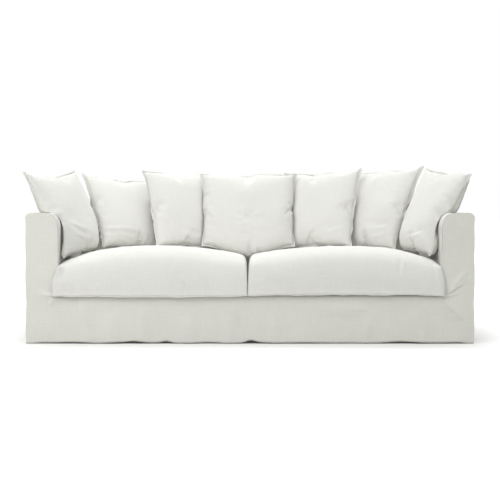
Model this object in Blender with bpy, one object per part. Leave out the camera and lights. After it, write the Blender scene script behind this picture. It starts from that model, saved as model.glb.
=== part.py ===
"""Fitted linen slipcover of a sofa, with its two seat cushions and seven loose back pillows.

The cover is hollow: the sofa that it dresses is left out. Sizes are in metres, +Z is up and the
front faces -Y. The origin lies on the floor under the middle of the cover.
"""

import math

import bmesh
import bpy
from mathutils import Vector

# Driving sizes of the cover
WIDTH = 2.34
FRONT_Y = -0.485  # outer face of the front panel
BACK_Y = 0.500  # outer face of the outside back
HEIGHT = 0.680  # arms and back alike
ARM_WIDTH = 0.166
BACK_DEPTH = 0.200
DECK_HEIGHT = 0.250
OUTER_RADIUS = 0.028  # the top outer edge of arms and back
ROLL_ACROSS = 0.048  # the soft inner edge of their top, a quarter of an ellipse
ROLL_DOWN = 0.078
CLOTH = 0.0025
SEAM_GAP = 0.0003

# Driving sizes of the seat cushions
SEAT_FRONT_Y = -0.507
SEAT_SPLIT_X = -0.012  # where the two meet
SEAT_SIDE_RISE = 0.165  # their height at the arms
SEAT_INNER_RISE = 0.192  # where the two meet
SEAT_CROWN_RISE = 0.250  # and in the middle
SEAT_SQUEEZE = 0.004  # each is this much too wide for the arm that presses on it
SEAT_CORNER = 0.045
LEFT_LOBE = 0.030  # how far the front corners squeeze out before the arms
RIGHT_LOBE = 0.018
LOBE_GAP = 0.005

# Driving sizes of the pillows
FLANGE = 0.014  # the flat stitched rim
FLANGE_THICKNESS = 0.003
PILLOW_CELLS = 10
SIDE_DRAW = 0.055  # how far the middle of each seam is drawn in, as a share of the half size
FOOT_DRAW = 0.050  # the top's is the dip in the table of pillows
FULLNESS_POWER = 0.56  # under 1 makes the pillow plump to near its seams
FOOT_FULLNESS = 0.16  # the filling sinks: the foot is this much fatter, the top thinner
REST_GAP = 0.007  # between a pillow and the arm or back that pushes it out of its plane
CORE_DEPTH = 0.120  # it is pushed away from a line this deep inside the arm or back
CORE_BELOW_TOP = 0.160

LINEN = (0.80, 0.79, 0.74)
CUSHION_LINEN = (0.83, 0.82, 0.78)

HALF = WIDTH / 2
ARM_FACE_X = HALF - ARM_WIDTH  # the inner face of an arm
BACK_FACE_Y = BACK_Y - BACK_DEPTH  # the inner face of the back
TOP_SEAM_Z = HEIGHT - OUTER_RADIUS

# Folds of the front panel: a soft ridge from one point to another
FRONT_FOLDS = (
    # x_top, z_top, x_bottom, z_bottom, width, height
    (-1.010, 0.225, -1.085, 0.255, 0.026, 0.005),
    (-0.880, 0.240, -0.845, 0.030, 0.034, 0.007),
    (-0.735, 0.170, -0.720, 0.000, 0.032, 0.006),
    (-0.560, 0.235, -0.575, 0.020, 0.036, 0.005),
    (-0.330, 0.150, -0.305, 0.000, 0.036, 0.007),
    (-0.100, 0.215, -0.110, 0.000, 0.034, 0.005),
    (0.120, 0.160, 0.140, 0.000, 0.036, 0.006),
    (0.330, 0.190, 0.560, 0.170, 0.034, 0.005),
    (0.620, 0.140, 0.600, 0.000, 0.034, 0.006),
    (0.860, 0.190, 0.900, 0.000, 0.036, 0.007),
    (1.025, 0.265, 1.105, 0.335, 0.024, 0.006),
    (1.000, 0.235, 1.080, 0.150, 0.026, 0.007),
)
# Folds of the side panels, along the floor from the front, and of the back, from its left end
SIDE_FOLDS = (
    # along_top, z_top, along_bottom, z_bottom, width, height
    (0.160, 0.520, 0.130, 0.000, 0.050, 0.006),
    (0.420, 0.300, 0.450, 0.000, 0.055, 0.008),
    (0.700, 0.560, 0.660, 0.020, 0.050, 0.006),
    (0.880, 0.260, 0.870, 0.000, 0.050, 0.006),
)
BACK_FOLDS = (
    # along_top, z_top, along_bottom, z_bottom, width, height
    (0.200, 0.420, 0.160, 0.000, 0.060, 0.008),
    (0.560, 0.240, 0.600, 0.000, 0.065, 0.009),
    (0.980, 0.560, 1.010, 0.000, 0.060, 0.007),
    (1.380, 0.300, 1.340, 0.000, 0.065, 0.009),
    (1.800, 0.520, 1.830, 0.000, 0.060, 0.007),
    (2.140, 0.280, 2.170, 0.000, 0.055, 0.008),
)
# Where the front hem rides up off the floor
HEM_LIFTS = (
    # x, width, lift
    (-0.610, 0.050, 0.005),
    (-0.435, 0.030, 0.006),
    (0.005, 0.035, 0.010),
    (0.300, 0.090, 0.003),
    (0.800, 0.070, 0.004),
)
HEM_SWING = 0.007  # how far the hem swings out at most
HEM_WAVES = (
    # waves for each metre of floor, phase, share
    (1.13, 0.6, 0.25),
    (2.75, 2.1, 0.15),
    (4.93, 0.0, 0.10),
)
SWING_HEIGHT = 0.220  # the swing fades out up to here
CORNER_WANDER = 0.004  # how far the front corner seams stray from straight

# Rings of a seat cushion's skin from its bottom seam to near the middle of its top. A ring lies
# inset from the plan's outline, and rises to a share of the height that the cushion has there.
SEAT_WALL = (
    # inset, rise
    (0.000, 0.000),
    (-0.006, 0.040),
    (0.002, 0.060),
    (-0.004, 0.250),
    (0.000, 0.450),
    (0.014, 0.640),
    (0.040, 0.810),
    (0.085, 0.930),
    (0.150, 0.990),
)
SEAT_CORE_INSET = 0.180  # the wall leans in towards a rectangle this far inside the outline
SEAT_SIDE_INSET = 0.4  # the left and right ends stand steeper than the front by this share
SEAT_TOP_SHARES = (0.74, 0.46, 0.16)  # further rings, as shares of the way from the middle
SEAT_BACK_SLOPE = 0.14  # the seat sinks towards the back by this share

# The back pillows, left to right. The foot is the middle of the lower rim, and everything turns
# about it. Yaw turns the face towards the right arm, lean tips the top back, roll turns the
# pillow on its own face. Skew slants the sides, the taper narrows the foot, the dip draws in the
# top seam, and the sag hangs down between the seat cushions. Sizes in metres, turns in degrees.
PILLOWS = (
    # foot_x, foot_y, foot_z, width, height, depth, yaw, lean, roll, skew, taper, dip, sag
    (-0.896, -0.235, 0.452, 0.471, 0.476, 0.150, 65.5, 24.2, 4.1, 0.006, 0.107, 0.125, 0.000),
    (-0.659, 0.023, 0.466, 0.461, 0.452, 0.150, 42.0, 27.4, -3.7, 0.050, 0.150, 0.110, 0.000),
    (-0.354, 0.071, 0.469, 0.444, 0.463, 0.150, 25.0, 23.3, -2.6, -0.026, 0.135, 0.050, 0.000),
    (-0.009, 0.065, 0.480, 0.550, 0.430, 0.170, 0.0, 19.5, 0.0, 0.000, 0.050, 0.025, 0.085),
    (0.382, 0.080, 0.469, 0.459, 0.467, 0.150, -20.0, 21.7, 2.4, -0.003, 0.128, 0.080, 0.000),
    (0.681, 0.047, 0.457, 0.458, 0.484, 0.150, -44.0, 22.3, 2.2, 0.034, 0.211, 0.050, 0.000),
    (0.890, -0.218, 0.455, 0.464, 0.487, 0.150, -67.2, 24.2, -4.2, -0.011, 0.191, 0.100, 0.000),
)


def add_object(name, skin, colour):
    """Turns a bmesh into a smooth-shaded object with a material of its own."""
    mesh = bpy.data.meshes.new(name)
    bmesh.ops.recalc_face_normals(skin, faces=skin.faces)
    skin.to_mesh(mesh)
    skin.free()
    mesh.shade_smooth()
    mesh.set_sharp_from_angle(angle=math.radians(40))
    material = bpy.data.materials.new(f"{name}_linen")
    material.use_nodes = True
    shader = material.node_tree.nodes["Principled BSDF"]
    shader.inputs["Base Color"].default_value = (*colour, 1.0)
    shader.inputs["Roughness"].default_value = 0.92
    shader.inputs["Metallic"].default_value = 0.0
    mesh.materials.append(material)
    thing = bpy.data.objects.new(name, mesh)
    bpy.context.scene.collection.objects.link(thing)
    return thing


def sheet_solid(name, outer, inner, colour, is_cloth=lambda row, column: True):
    """One closed solid between two grids of points. is_cloth leaves cells of the grid out."""
    panel = bmesh.new()
    skins = [[[panel.verts.new(point) for point in row] for row in grid] for grid in (outer, inner)]
    for row in range(len(outer) - 1):
        for column in range(len(outer[0]) - 1):
            if is_cloth(row, column):
                corners = ((row, column), (row, column + 1), (row + 1, column + 1), (row + 1, column))
                panel.faces.new([skins[0][i][j] for i, j in corners])
                panel.faces.new([skins[1][i][j] for i, j in reversed(corners)])
    twin = {a: b for outer_row, inner_row in zip(*skins) for a, b in zip(outer_row, inner_row)}
    for edge in [edge for edge in panel.edges if edge.is_boundary and edge.verts[0] in twin]:
        a, b = edge.verts
        panel.faces.new((a, b, twin[b], twin[a]))
    bmesh.ops.delete(panel, geom=[v for v in panel.verts if not v.link_faces], context="VERTS")
    return add_object(name, panel, colour)


def spaced(start, end, cells):
    return [start + (end - start) * i / cells for i in range(cells + 1)]


def smooth_step(value):
    value = min(1.0, max(0.0, value))
    return value * value * (3 - 2 * value)


def edge_fade(value, low, high, margin):
    """0 at both ends of a panel and 1 inside its margins, so that neighbours meet at their seam."""
    return smooth_step((value - low) / margin) * smooth_step((high - value) / margin)


def fold_height(folds, along, up):
    """How far the folds stand out at a point of a panel. A fold starts low and grows."""
    total = 0.0
    for along_top, up_top, along_bottom, up_bottom, width, height in folds:
        run, rise = along_bottom - along_top, up_bottom - up_top
        share = ((along - along_top) * run + (up - up_top) * rise) / (run * run + rise * rise)
        held = min(1.0, max(0.0, share))
        distance = math.hypot(along - along_top - held * run, up - up_top - held * rise)
        growth = 0.25 + 0.75 * smooth_step(held / 0.35)
        total += height * growth * math.exp(-((distance / width) ** 2))
    return total


def hem_swing(along, up):
    """How far the hanging cloth swings out: uneven along the floor, and most at the hem."""
    waves = sum(share * math.sin(math.tau * rate * along + phase) for rate, phase, share in HEM_WAVES)
    return HEM_SWING * (0.5 + waves) * (1 - smooth_step(up / SWING_HEIGHT)) ** 1.4


def hem_lift(x):
    return sum(lift * math.exp(-(((x - centre) / width) ** 2)) for centre, width, lift in HEM_LIFTS)


def corner_wander(up):
    """How far a front corner seam strays outwards from straight, on the way down to the floor."""
    return CORNER_WANDER * math.sin(up * 13.0 + 0.4) * smooth_step((TOP_SEAM_Z - up) / 0.2)


def arm_outline_z(across):
    """Height of the arm's front outline at a distance from its outer face."""
    if across < OUTER_RADIUS:
        return TOP_SEAM_Z + math.sqrt(OUTER_RADIUS**2 - (OUTER_RADIUS - across) ** 2)
    return rail_profile(ARM_WIDTH - across)


def rail_profile(beyond):
    """Height of the outline of an arm or the back, at a distance beyond its inner face."""
    share = 1 - min(1.0, max(0.0, beyond) / ROLL_ACROSS)
    return HEIGHT - ROLL_DOWN + ROLL_DOWN * math.sqrt(1 - share * share)


def front_panel():
    """The front of both arms and the apron between them, cut as one piece like a wide U."""
    flat_end = ARM_WIDTH - ROLL_ACROSS
    arm_steps = [OUTER_RADIUS * (1 - math.cos(math.radians(angle))) for angle in (0, 45, 90)]
    arm_steps += spaced(OUTER_RADIUS, flat_end, 3)[1:]
    arm_steps += [flat_end + ROLL_ACROSS * math.sin(math.radians(angle)) for angle in (25, 48, 70, 90)]
    left_arm = [step - HALF for step in arm_steps]
    right_arm = [-x for x in reversed(left_arm)]
    apron = spaced(-ARM_FACE_X, ARM_FACE_X, 56)[1:-1]
    columns = left_arm + apron + right_arm
    apron_rows, arm_rows = 6, 7

    def skin(depth):
        rows = []
        for row in range(apron_rows + arm_rows + 1):
            points = []
            for x in columns:
                if row <= apron_rows:
                    foot = hem_lift(x)
                    z = foot + (DECK_HEIGHT - foot) * row / apron_rows
                else:
                    top = arm_outline_z(HALF - abs(x))
                    z = DECK_HEIGHT + (top - DECK_HEIGHT) * (row - apron_rows) / arm_rows
                shift = corner_wander(z) * smooth_step((abs(x) - ARM_FACE_X) / ARM_WIDTH)
                fade = edge_fade(x, -HALF, HALF, 0.05) * smooth_step((HEIGHT - z) / 0.1)
                out = (fold_height(FRONT_FOLDS, x, z) + hem_swing(x, z)) * fade
                points.append((x + math.copysign(shift, x), FRONT_Y - out + depth, z))
            rows.append(points)
        return rows

    first_apron, last_apron = len(left_arm) - 1, len(left_arm) + len(apron)
    return sheet_solid(
        "front_panel",
        skin(0),
        skin(CLOTH),
        LINEN,
        lambda row, column: row < apron_rows or not first_apron <= column < last_apron,
    )


def side_panel(name, side):
    """The outside of an arm, from the front panel to the outside back."""
    start, end = FRONT_Y + CLOTH + SEAM_GAP, BACK_Y - CLOTH - SEAM_GAP

    def skin(depth):
        rows = []
        for z in spaced(0.0, TOP_SEAM_Z - SEAM_GAP, 8):
            points = []
            for y in spaced(start, end, 18):
                along = y - start
                fade = edge_fade(y, start, end, 0.07) * smooth_step((TOP_SEAM_Z - z) / 0.12)
                out = (fold_height(SIDE_FOLDS, along, z) + hem_swing(along + side, z)) * fade
                out += corner_wander(z) * (1 - smooth_step(along / 0.35))
                points.append((side * (HALF + out - depth), y, z))
            rows.append(points)
        return rows

    return sheet_solid(name, skin(0), skin(CLOTH), LINEN)


def outside_back():
    def skin(depth):
        rows = []
        for z in spaced(0.0, TOP_SEAM_Z - SEAM_GAP, 8):
            points = []
            for x in spaced(-HALF, HALF, 34):
                fade = edge_fade(x, -HALF, HALF, 0.07) * smooth_step((TOP_SEAM_Z - z) / 0.12)
                out = (fold_height(BACK_FOLDS, x + HALF, z) + hem_swing(x + WIDTH, z)) * fade
                points.append((x, BACK_Y + out - depth, z))
            rows.append(points)
        return rows

    return sheet_solid("outside_back", skin(0), skin(CLOTH), LINEN)


def rail_section(depth, deepest):
    """The cloth's way over an arm or the back, from the outer top seam to the deck, as (across, z).

    Depth goes into the cloth, and below 0 off it. The back's section is the arm's, stretched."""
    points = []
    for angle in (0, 30, 60, 90):
        turn = math.radians(angle)
        reach = OUTER_RADIUS - depth
        points.append((OUTER_RADIUS - reach * math.cos(turn), TOP_SEAM_Z + reach * math.sin(turn)))
    for angle in (0, 20, 40, 60, 75, 90):
        turn = math.radians(angle)
        across = ARM_WIDTH - ROLL_ACROSS + (ROLL_ACROSS - depth) * math.sin(turn)
        points.append((across, HEIGHT - ROLL_DOWN + (ROLL_DOWN - depth) * math.cos(turn)))
    for z in spaced(HEIGHT - ROLL_DOWN, DECK_HEIGHT + SEAM_GAP, 4)[1:]:
        points.append((ARM_WIDTH - depth, z))
    return [(across * deepest / ARM_WIDTH, z) for across, z in points]


def arm_panel(name, side):
    """The top and the inside of an arm in one piece, mitred to the back's at the rear corner."""
    start = FRONT_Y + CLOTH + SEAM_GAP

    def skin(depth):
        rows = []
        for across, z in rail_section(depth, ARM_WIDTH):
            end = BACK_Y - across * BACK_DEPTH / ARM_WIDTH - SEAM_GAP
            rows.append([(side * (HALF - across), y, z) for y in spaced(start, end, 7)])
        return rows

    return sheet_solid(name, skin(0), skin(CLOTH), LINEN)


def inside_back():
    """The top and the inside of the back in one piece, between the two mitred corners."""

    def skin(depth):
        rows = []
        for across, z in rail_section(depth, BACK_DEPTH):
            end = HALF - across * ARM_WIDTH / BACK_DEPTH
            rows.append([(x, BACK_Y - across, z) for x in spaced(-end, end, 12)])
        return rows

    return sheet_solid("inside_back", skin(0), skin(CLOTH), LINEN)


def deck():
    """The flat platform under the seat cushions."""
    front, back = FRONT_Y + CLOTH + SEAM_GAP, BACK_FACE_Y + CLOTH
    reach = ARM_FACE_X + CLOTH

    def skin(depth):
        return [[(x, y, DECK_HEIGHT - depth) for x in spaced(-reach, reach, 4)] for y in (front, back)]

    return sheet_solid("deck", skin(0), skin(CLOTH), LINEN)


def seat_rise(x, y, left, right):
    """Height of a seat cushion over the deck, at a point of its plan."""
    across = min(1.0, abs(2 * (x - left) / (right - left) - 1))
    along = (y - SEAT_FRONT_Y) / (BACK_FACE_Y - SEAT_FRONT_Y)
    crown = (1 - across**2.5) ** 0.85
    slope = 1 - SEAT_BACK_SLOPE * smooth_step((along - 0.35) / 0.65)
    inner = smooth_step(1 - abs(x - SEAT_SPLIT_X) / 0.30)
    side_rise = SEAT_SIDE_RISE + (SEAT_INNER_RISE - SEAT_SIDE_RISE) * inner
    return (side_rise + (SEAT_CROWN_RISE - side_rise) * crown) * slope


def seat_end(edge, side, lobe):
    """One end of a seat cushion's plan, from back to front, with the lobe before the arm."""
    neck = FRONT_Y - LOBE_GAP
    back = BACK_FACE_Y - SEAM_GAP - SEAT_CORNER
    way = [(edge, y) for y in spaced(back, neck + 0.002, 9)]
    if lobe:
        way += [(edge + side * lobe * share, y) for share, y in ((0.6, neck), (1.0, neck - 0.006))]
        way += [(edge + side * lobe * 0.75, SEAT_FRONT_Y + 0.005)]
        way += [(edge + side * lobe * 0.1, SEAT_FRONT_Y + 0.001)]
    else:
        way += [(edge, neck - 0.006), (edge - side * 0.012, SEAT_FRONT_Y + 0.004)]
    return way


def seat_cushion(name, left, right, left_lobe, right_lobe):
    """A filled seat cushion: a domed top that rolls over the front down to its bottom seam."""
    middle_x, half = (left + right) / 2, (right - left) / 2
    back = BACK_FACE_Y - SEAM_GAP
    outline = seat_end(right, 1, right_lobe)
    outline += [(middle_x + half * share, SEAT_FRONT_Y) for share in spaced(0.9, -0.9, 13)]
    outline += seat_end(left, -1, left_lobe)[::-1]
    outline += [(middle_x + half * share, back) for share in spaced(-0.93, 0.93, 9)]
    low, high = SEAT_FRONT_Y + SEAT_CORE_INSET, BACK_FACE_Y - SEAT_CORE_INSET
    middle = Vector((middle_x, (low + high) / 2 - 0.04))
    foot = DECK_HEIGHT + SEAM_GAP
    cushion = bmesh.new()
    rings = []

    def place(x, y, rise):
        return cushion.verts.new((x, y, foot + rise * seat_rise(x, y, left, right)))

    for inset, rise in SEAT_WALL:
        ring = []
        for x, y in outline:
            core_x = min(right - SEAT_CORE_INSET, max(left + SEAT_CORE_INSET, x))
            inward = Vector((core_x - x, min(high, max(low, y)) - y)).normalized()
            side_inset = max(0.0, inset) * SEAT_SIDE_INSET
            front_inset = inset if y < FRONT_Y else max(0.0, inset)
            ring.append(place(x + inward.x * side_inset, y + inward.y * front_inset, rise))
        rings.append(ring)
    last = [Vector(vertex.co.xy) for vertex in rings[-1]]
    for share in SEAT_TOP_SHARES:
        rings.append([place(*(middle + (point - middle) * share), 1.0) for point in last])
    for lower, upper in zip(rings, rings[1:]):
        for i in range(len(outline)):
            j = (i + 1) % len(outline)
            cushion.faces.new((lower[i], lower[j], upper[j], upper[i]))
    cushion.faces.new(rings[-1])
    cushion.faces.new(rings[0][::-1])
    return add_object(name, cushion, CUSHION_LINEN)


def clear_of_rail(beyond, z, margin):
    """Moves a point, given by its distance beyond an inner face, out of an arm or the back."""

    def is_inside(at, up):
        return at > -margin and up < rail_profile(at + margin) + margin

    if not is_inside(beyond, z):
        return beyond, z
    core = HEIGHT - CORE_BELOW_TOP
    run, rise = beyond - CORE_DEPTH, z - core
    if rise <= 0:
        return -margin, z
    if run >= 0:
        return beyond, HEIGHT + margin
    near, far = 1.0, 2.0
    while is_inside(CORE_DEPTH + run * far, core + rise * far):
        far *= 2
    for _ in range(24):
        middle = (near + far) / 2
        if is_inside(CORE_DEPTH + run * middle, core + rise * middle):
            near = middle
        else:
            far = middle
    return CORE_DEPTH + run * far, core + rise * far


def clear_of_frame(point, margin):
    """Moves a pillow's point off the arms and the back that it presses on."""
    x, y, z = point
    beyond, z = clear_of_rail(abs(x) - ARM_FACE_X, z, margin)
    x = math.copysign(beyond + ARM_FACE_X, x)
    beyond, z = clear_of_rail(y - BACK_FACE_Y, z, margin)
    return Vector((x, beyond + BACK_FACE_Y, z))


def pillow_half_depth(across, up, depth):
    """Half a pillow's thickness, fattest a little under its middle. Both run from -1 to 1."""
    fullness = max(0.0, (1 - across * across) * (1 - up * up)) ** FULLNESS_POWER
    return max(FLANGE_THICKNESS / 2, depth / 2 * fullness * (1 - FOOT_FULLNESS * up))


def pillow(name, row):
    """A filled pillow with drawn-in sides, pointed corners and a flat stitched rim."""
    x, y, z, width, height, depth, yaw, lean, roll, skew, taper, dip, sag = row
    thing = add_object(name, bmesh.new(), CUSHION_LINEN)
    thing.location = (x, y, z)
    thing.rotation_mode = "YXZ"
    thing.rotation_euler = (math.radians(-lean), math.radians(-roll), math.radians(yaw))
    bpy.context.view_layer.update()
    placement = thing.matrix_world
    steps = [math.sin(math.radians(angle)) for angle in spaced(-90, 90, PILLOW_CELLS)]
    steps = [-1 - 2 * FLANGE / width] + steps + [1 + 2 * FLANGE / width]

    def skin(side):
        rows = []
        for t in steps:
            points = []
            for s in steps:
                held_s, held_t = max(-1.0, min(1.0, s)), max(-1.0, min(1.0, t))
                draw = dip if t > 0 else FOOT_DRAW
                across = s * width / 2 * (1 - SIDE_DRAW * (1 - abs(held_t) ** 3) * abs(s))
                across *= 1 - taper * (1 - t) / 2
                across += skew * t * height / 2
                up = t * height / 2 * (1 - draw * (1 - held_s**2) * abs(t))
                up -= sag * (1 - held_s**2) ** 2 * (1 - held_t) / 2
                half_depth = pillow_half_depth(held_s, held_t, depth)
                point = placement @ Vector((across, -side * half_depth, up + height / 2 + FLANGE))
                margin = REST_GAP + (min(2 * half_depth, 0.02) if side > 0 else 0.0)
                points.append(placement.inverted() @ clear_of_frame(point, margin))
            rows.append(points)
        return rows

    shape = sheet_solid(f"{name}_shape", skin(1), skin(-1), CUSHION_LINEN)
    thing.data = shape.data
    bpy.data.objects.remove(shape)
    # Cut as triangles, as a bent quad would be split anew after the cut and could reach past it
    thing.modifiers.new("flat_faces", "TRIANGULATE")
    return thing


def hide_cutter(cutter):
    cutter.hide_render = True
    cutter.display_type = "WIRE"
    return cutter


def frame_block(name, side):
    """A solid stand-in of an arm, or of the back for side 0, that cuts what presses on it."""
    section = [(0.0, DECK_HEIGHT)] + rail_section(-2 * SEAM_GAP, ARM_WIDTH if side else BACK_DEPTH)
    block = bmesh.new()
    if side:
        near = [block.verts.new((side * (HALF - across), FRONT_Y - LOBE_GAP, z)) for across, z in section]
        far = [block.verts.new((side * (HALF - across), BACK_Y, z)) for across, z in section]
    else:
        near = [block.verts.new((-ARM_FACE_X, BACK_Y - across, z)) for across, z in section]
        far = [block.verts.new((ARM_FACE_X, BACK_Y - across, z)) for across, z in section]
    block.faces.new(near)
    block.faces.new(far[::-1])
    for i in range(len(section)):
        j = (i + 1) % len(section)
        block.faces.new((near[i], near[j], far[j], far[i]))
    return hide_cutter(add_object(name, block, LINEN))


def cut_by(soft, cutter):
    cut = soft.modifiers.new(f"by_{cutter.name}", "BOOLEAN")
    cut.operation = "DIFFERENCE"
    cut.solver = "EXACT"
    cut.object = cutter


def press_by(soft, firm):
    """Flattens a soft thing where another lies on it: that one cuts it back, and a little more."""
    cutter = hide_cutter(bpy.data.objects.new(f"{firm.name}_on_{soft.name}", firm.data))
    cutter.matrix_world = firm.matrix_world
    bpy.context.scene.collection.objects.link(cutter)
    cutter.modifiers.new("flat_faces", "TRIANGULATE")
    swell = cutter.modifiers.new("swell", "DISPLACE")
    swell.strength = 1.5 * SEAM_GAP
    swell.mid_level = 0.0
    cut_by(soft, cutter)


def build():
    for thing in list(bpy.data.objects):
        bpy.data.objects.remove(thing)
    front_panel()
    for side, hand in ((-1, "left"), (1, "right")):
        side_panel(f"side_panel_{hand}", side)
        arm_panel(f"arm_panel_{hand}", side)
    outside_back()
    inside_back()
    deck()

    reach = ARM_FACE_X + SEAT_SQUEEZE
    left_end, right_start = SEAT_SPLIT_X - SEAM_GAP / 2, SEAT_SPLIT_X + SEAM_GAP / 2
    seats = [
        seat_cushion("seat_cushion_left", -reach, left_end, LEFT_LOBE, 0.0),
        seat_cushion("seat_cushion_right", right_start, reach, 0.0, RIGHT_LOBE),
    ]
    pillows = [pillow(f"pillow_{i + 1}", row) for i, row in enumerate(PILLOWS)]

    arm_blocks = [frame_block("arm_block_left", -1), frame_block("arm_block_right", 1)]
    back_block = frame_block("back_block", 0)
    for seat in seats:
        for block in arm_blocks:
            cut_by(seat, block)
    for soft in pillows:
        for block in [*arm_blocks, back_block]:
            cut_by(soft, block)
        for seat in seats:
            press_by(soft, seat)
    # The middle pillow lies foremost, and each one further out is pressed by its inner neighbour
    middle = len(pillows) // 2
    for i in range(middle):
        press_by(pillows[i], pillows[i + 1])
        press_by(pillows[-1 - i], pillows[-2 - i])


build()
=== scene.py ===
import math

import bpy
import numpy as np
from mathutils import Euler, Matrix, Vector, noise
from mathutils.bvhtree import BVHTree


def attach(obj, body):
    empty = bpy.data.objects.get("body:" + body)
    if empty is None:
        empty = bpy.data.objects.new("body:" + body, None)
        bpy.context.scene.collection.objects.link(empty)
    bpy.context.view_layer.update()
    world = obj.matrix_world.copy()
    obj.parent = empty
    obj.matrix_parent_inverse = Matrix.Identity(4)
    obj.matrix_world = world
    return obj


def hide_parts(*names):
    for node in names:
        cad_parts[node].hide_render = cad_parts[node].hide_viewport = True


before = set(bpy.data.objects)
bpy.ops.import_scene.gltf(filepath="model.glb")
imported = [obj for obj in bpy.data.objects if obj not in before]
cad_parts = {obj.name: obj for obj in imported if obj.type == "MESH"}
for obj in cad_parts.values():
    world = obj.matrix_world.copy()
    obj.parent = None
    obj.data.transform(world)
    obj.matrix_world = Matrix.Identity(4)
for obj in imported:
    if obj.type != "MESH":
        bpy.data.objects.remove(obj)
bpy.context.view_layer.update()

# Sizes in metres throughout. The front faces -Y, and the origin lies on the floor.

cover = {
    "width": 2.34,
    "frontY": -0.485,
    "backY": 0.500,
    "height": 0.680,
    "armWidth": 0.166,
    "backDepth": 0.200,
    "deckHeight": 0.250,
    "apronTurn": 0.012,  # how the apron's top turns in over the frame
    "outerRadius": 0.028,  # top outer edge of arms and back
    "rollAcross": 0.048,  # soft inner edge of their top
    "rollDown": 0.078,
    "cloth": 0.0025,
    "seamGap": 0.0003,
    "cell": 0.0095,  # mesh size of the panels
}
halfWidth = cover["width"] / 2
frontY, backY = cover["frontY"], cover["backY"]
armWidth, backDepth = cover["armWidth"], cover["backDepth"]
armFaceX = halfWidth - armWidth
backFaceY = backY - backDepth
outerRadius, rollAcross, rollDown = cover["outerRadius"], cover["rollAcross"], cover["rollDown"]
topSeamZ = cover["height"] - outerRadius
deckZ, clothThick, seamGap = cover["deckHeight"], cover["cloth"], cover["seamGap"]


def linear(hexColour):
    channels = [int(hexColour[i : i + 2], 16) / 255 for i in (1, 3, 5)]
    return [c / 12.92 if c <= 0.04045 else ((c + 0.055) / 1.055) ** 2.4 for c in channels] + [1.0]


# Adds a node and gives back one of its outputs. What is put into it may be a value or an output
def addNode(tree, kind, inputs=None, output=0, **settings):
    node = tree.nodes.new("ShaderNode" + kind)
    for name, value in settings.items():
        setattr(node, name, value)
    for name, value in (inputs or {}).items():
        if isinstance(value, bpy.types.NodeSocket):
            tree.links.new(value, node.inputs[name])
        else:
            node.inputs[name].default_value = value
    return node.outputs[output]


# Looks like one shader, but throws light on like the other
def mixForEye(tree, lit, seen):
    toEye = addNode(tree, "LightPath", output="Is Camera Ray")
    return addNode(tree, "MixShader", {0: toEye, 1: lit, 2: seen})


def smoothStep(value):
    value = np.clip(value, 0.0, 1.0)
    return value * value * (3 - 2 * value)


def edgeFade(value, low, high, margin):
    return smoothStep((value - low) / margin) * smoothStep((high - value) / margin)


def rumple(points, perMetre, seed, octaves=1):
    shift = Vector((seed * 3.7, seed * 1.3, seed * 5.1))
    flat = np.asarray(points, float).reshape(-1, 3)
    values = [noise.fractal(Vector(p) * perMetre + shift, 1.0, 2.0, octaves) for p in flat]
    return np.array(values).reshape(np.asarray(points).shape[:-1])


# The faces of a grid of point numbers, closed round to its first column where that is asked
def gridFaces(index, closed=False):
    if closed:
        index = np.concatenate([index, index[:, :1]], 1)
    quads = np.stack([index[:-1, :-1], index[:-1, 1:], index[1:, 1:], index[1:, :-1]], -1)
    return quads.reshape(-1, 4).tolist()


def makeMesh(name, points, faces, uvs):
    mesh = bpy.data.meshes.new(name)
    mesh.from_pydata([tuple(p) for p in points], [], faces)
    layer = mesh.uv_layers.new(name="grain")
    corners = np.empty(len(mesh.loops), np.int32)
    mesh.loops.foreach_get("vertex_index", corners)
    layer.data.foreach_set("uv", np.asarray(uvs, np.float32)[corners].ravel())
    mesh.shade_smooth()
    mesh.update()
    return mesh


def addPiece(name, mesh, material, nodes=()):
    piece = bpy.data.objects.new(name, mesh)
    bpy.context.scene.collection.objects.link(piece)
    mesh.materials.append(material)
    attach(piece, "root")
    if nodes:
        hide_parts(*nodes)
    return piece


def normalsOf(mesh):
    found = np.empty(len(mesh.vertices) * 3, np.float32)
    mesh.vertex_normals.foreach_get("vector", found)
    return found.reshape(-1, 3)


def pointsOf(mesh):
    found = np.empty(len(mesh.vertices) * 3, np.float32)
    mesh.vertices.foreach_get("co", found)
    return found.reshape(-1, 3).astype(float)


def setPoints(mesh, points):
    mesh.vertices.foreach_set("co", np.asarray(points, np.float32).ravel())
    mesh.update()


linens = {
    "coverLinen": {"base": "#DDDDD6", "shade": "#D7D7CF", "slub": "#E4E4DD"},
    "cushionLinen": {"base": "#DFDFDA", "shade": "#DADAD4", "slub": "#E6E6E2"},
}
weave = {
    "threadPitch": 0.0024,  # 0.7 mm in the real cloth, drawn over three times as coarse to show
    "slubWidth": 0.0036,  # thick places in the yarn, 1 to 2 mm wide, drawn twice as wide to show
    "slubLength": 0.085,
    "washing": 0.35,  # size of the soft patches that washing leaves
    "bump": 0.0007,
}
surface = {
    "Roughness": 0.92,
    "IOR": 1.5,
    "Specular IOR Level": 0.25,
    "Sheen Weight": 0.22,  # the short fuzz of washed flax
    "Sheen Roughness": 0.6,
}


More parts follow.
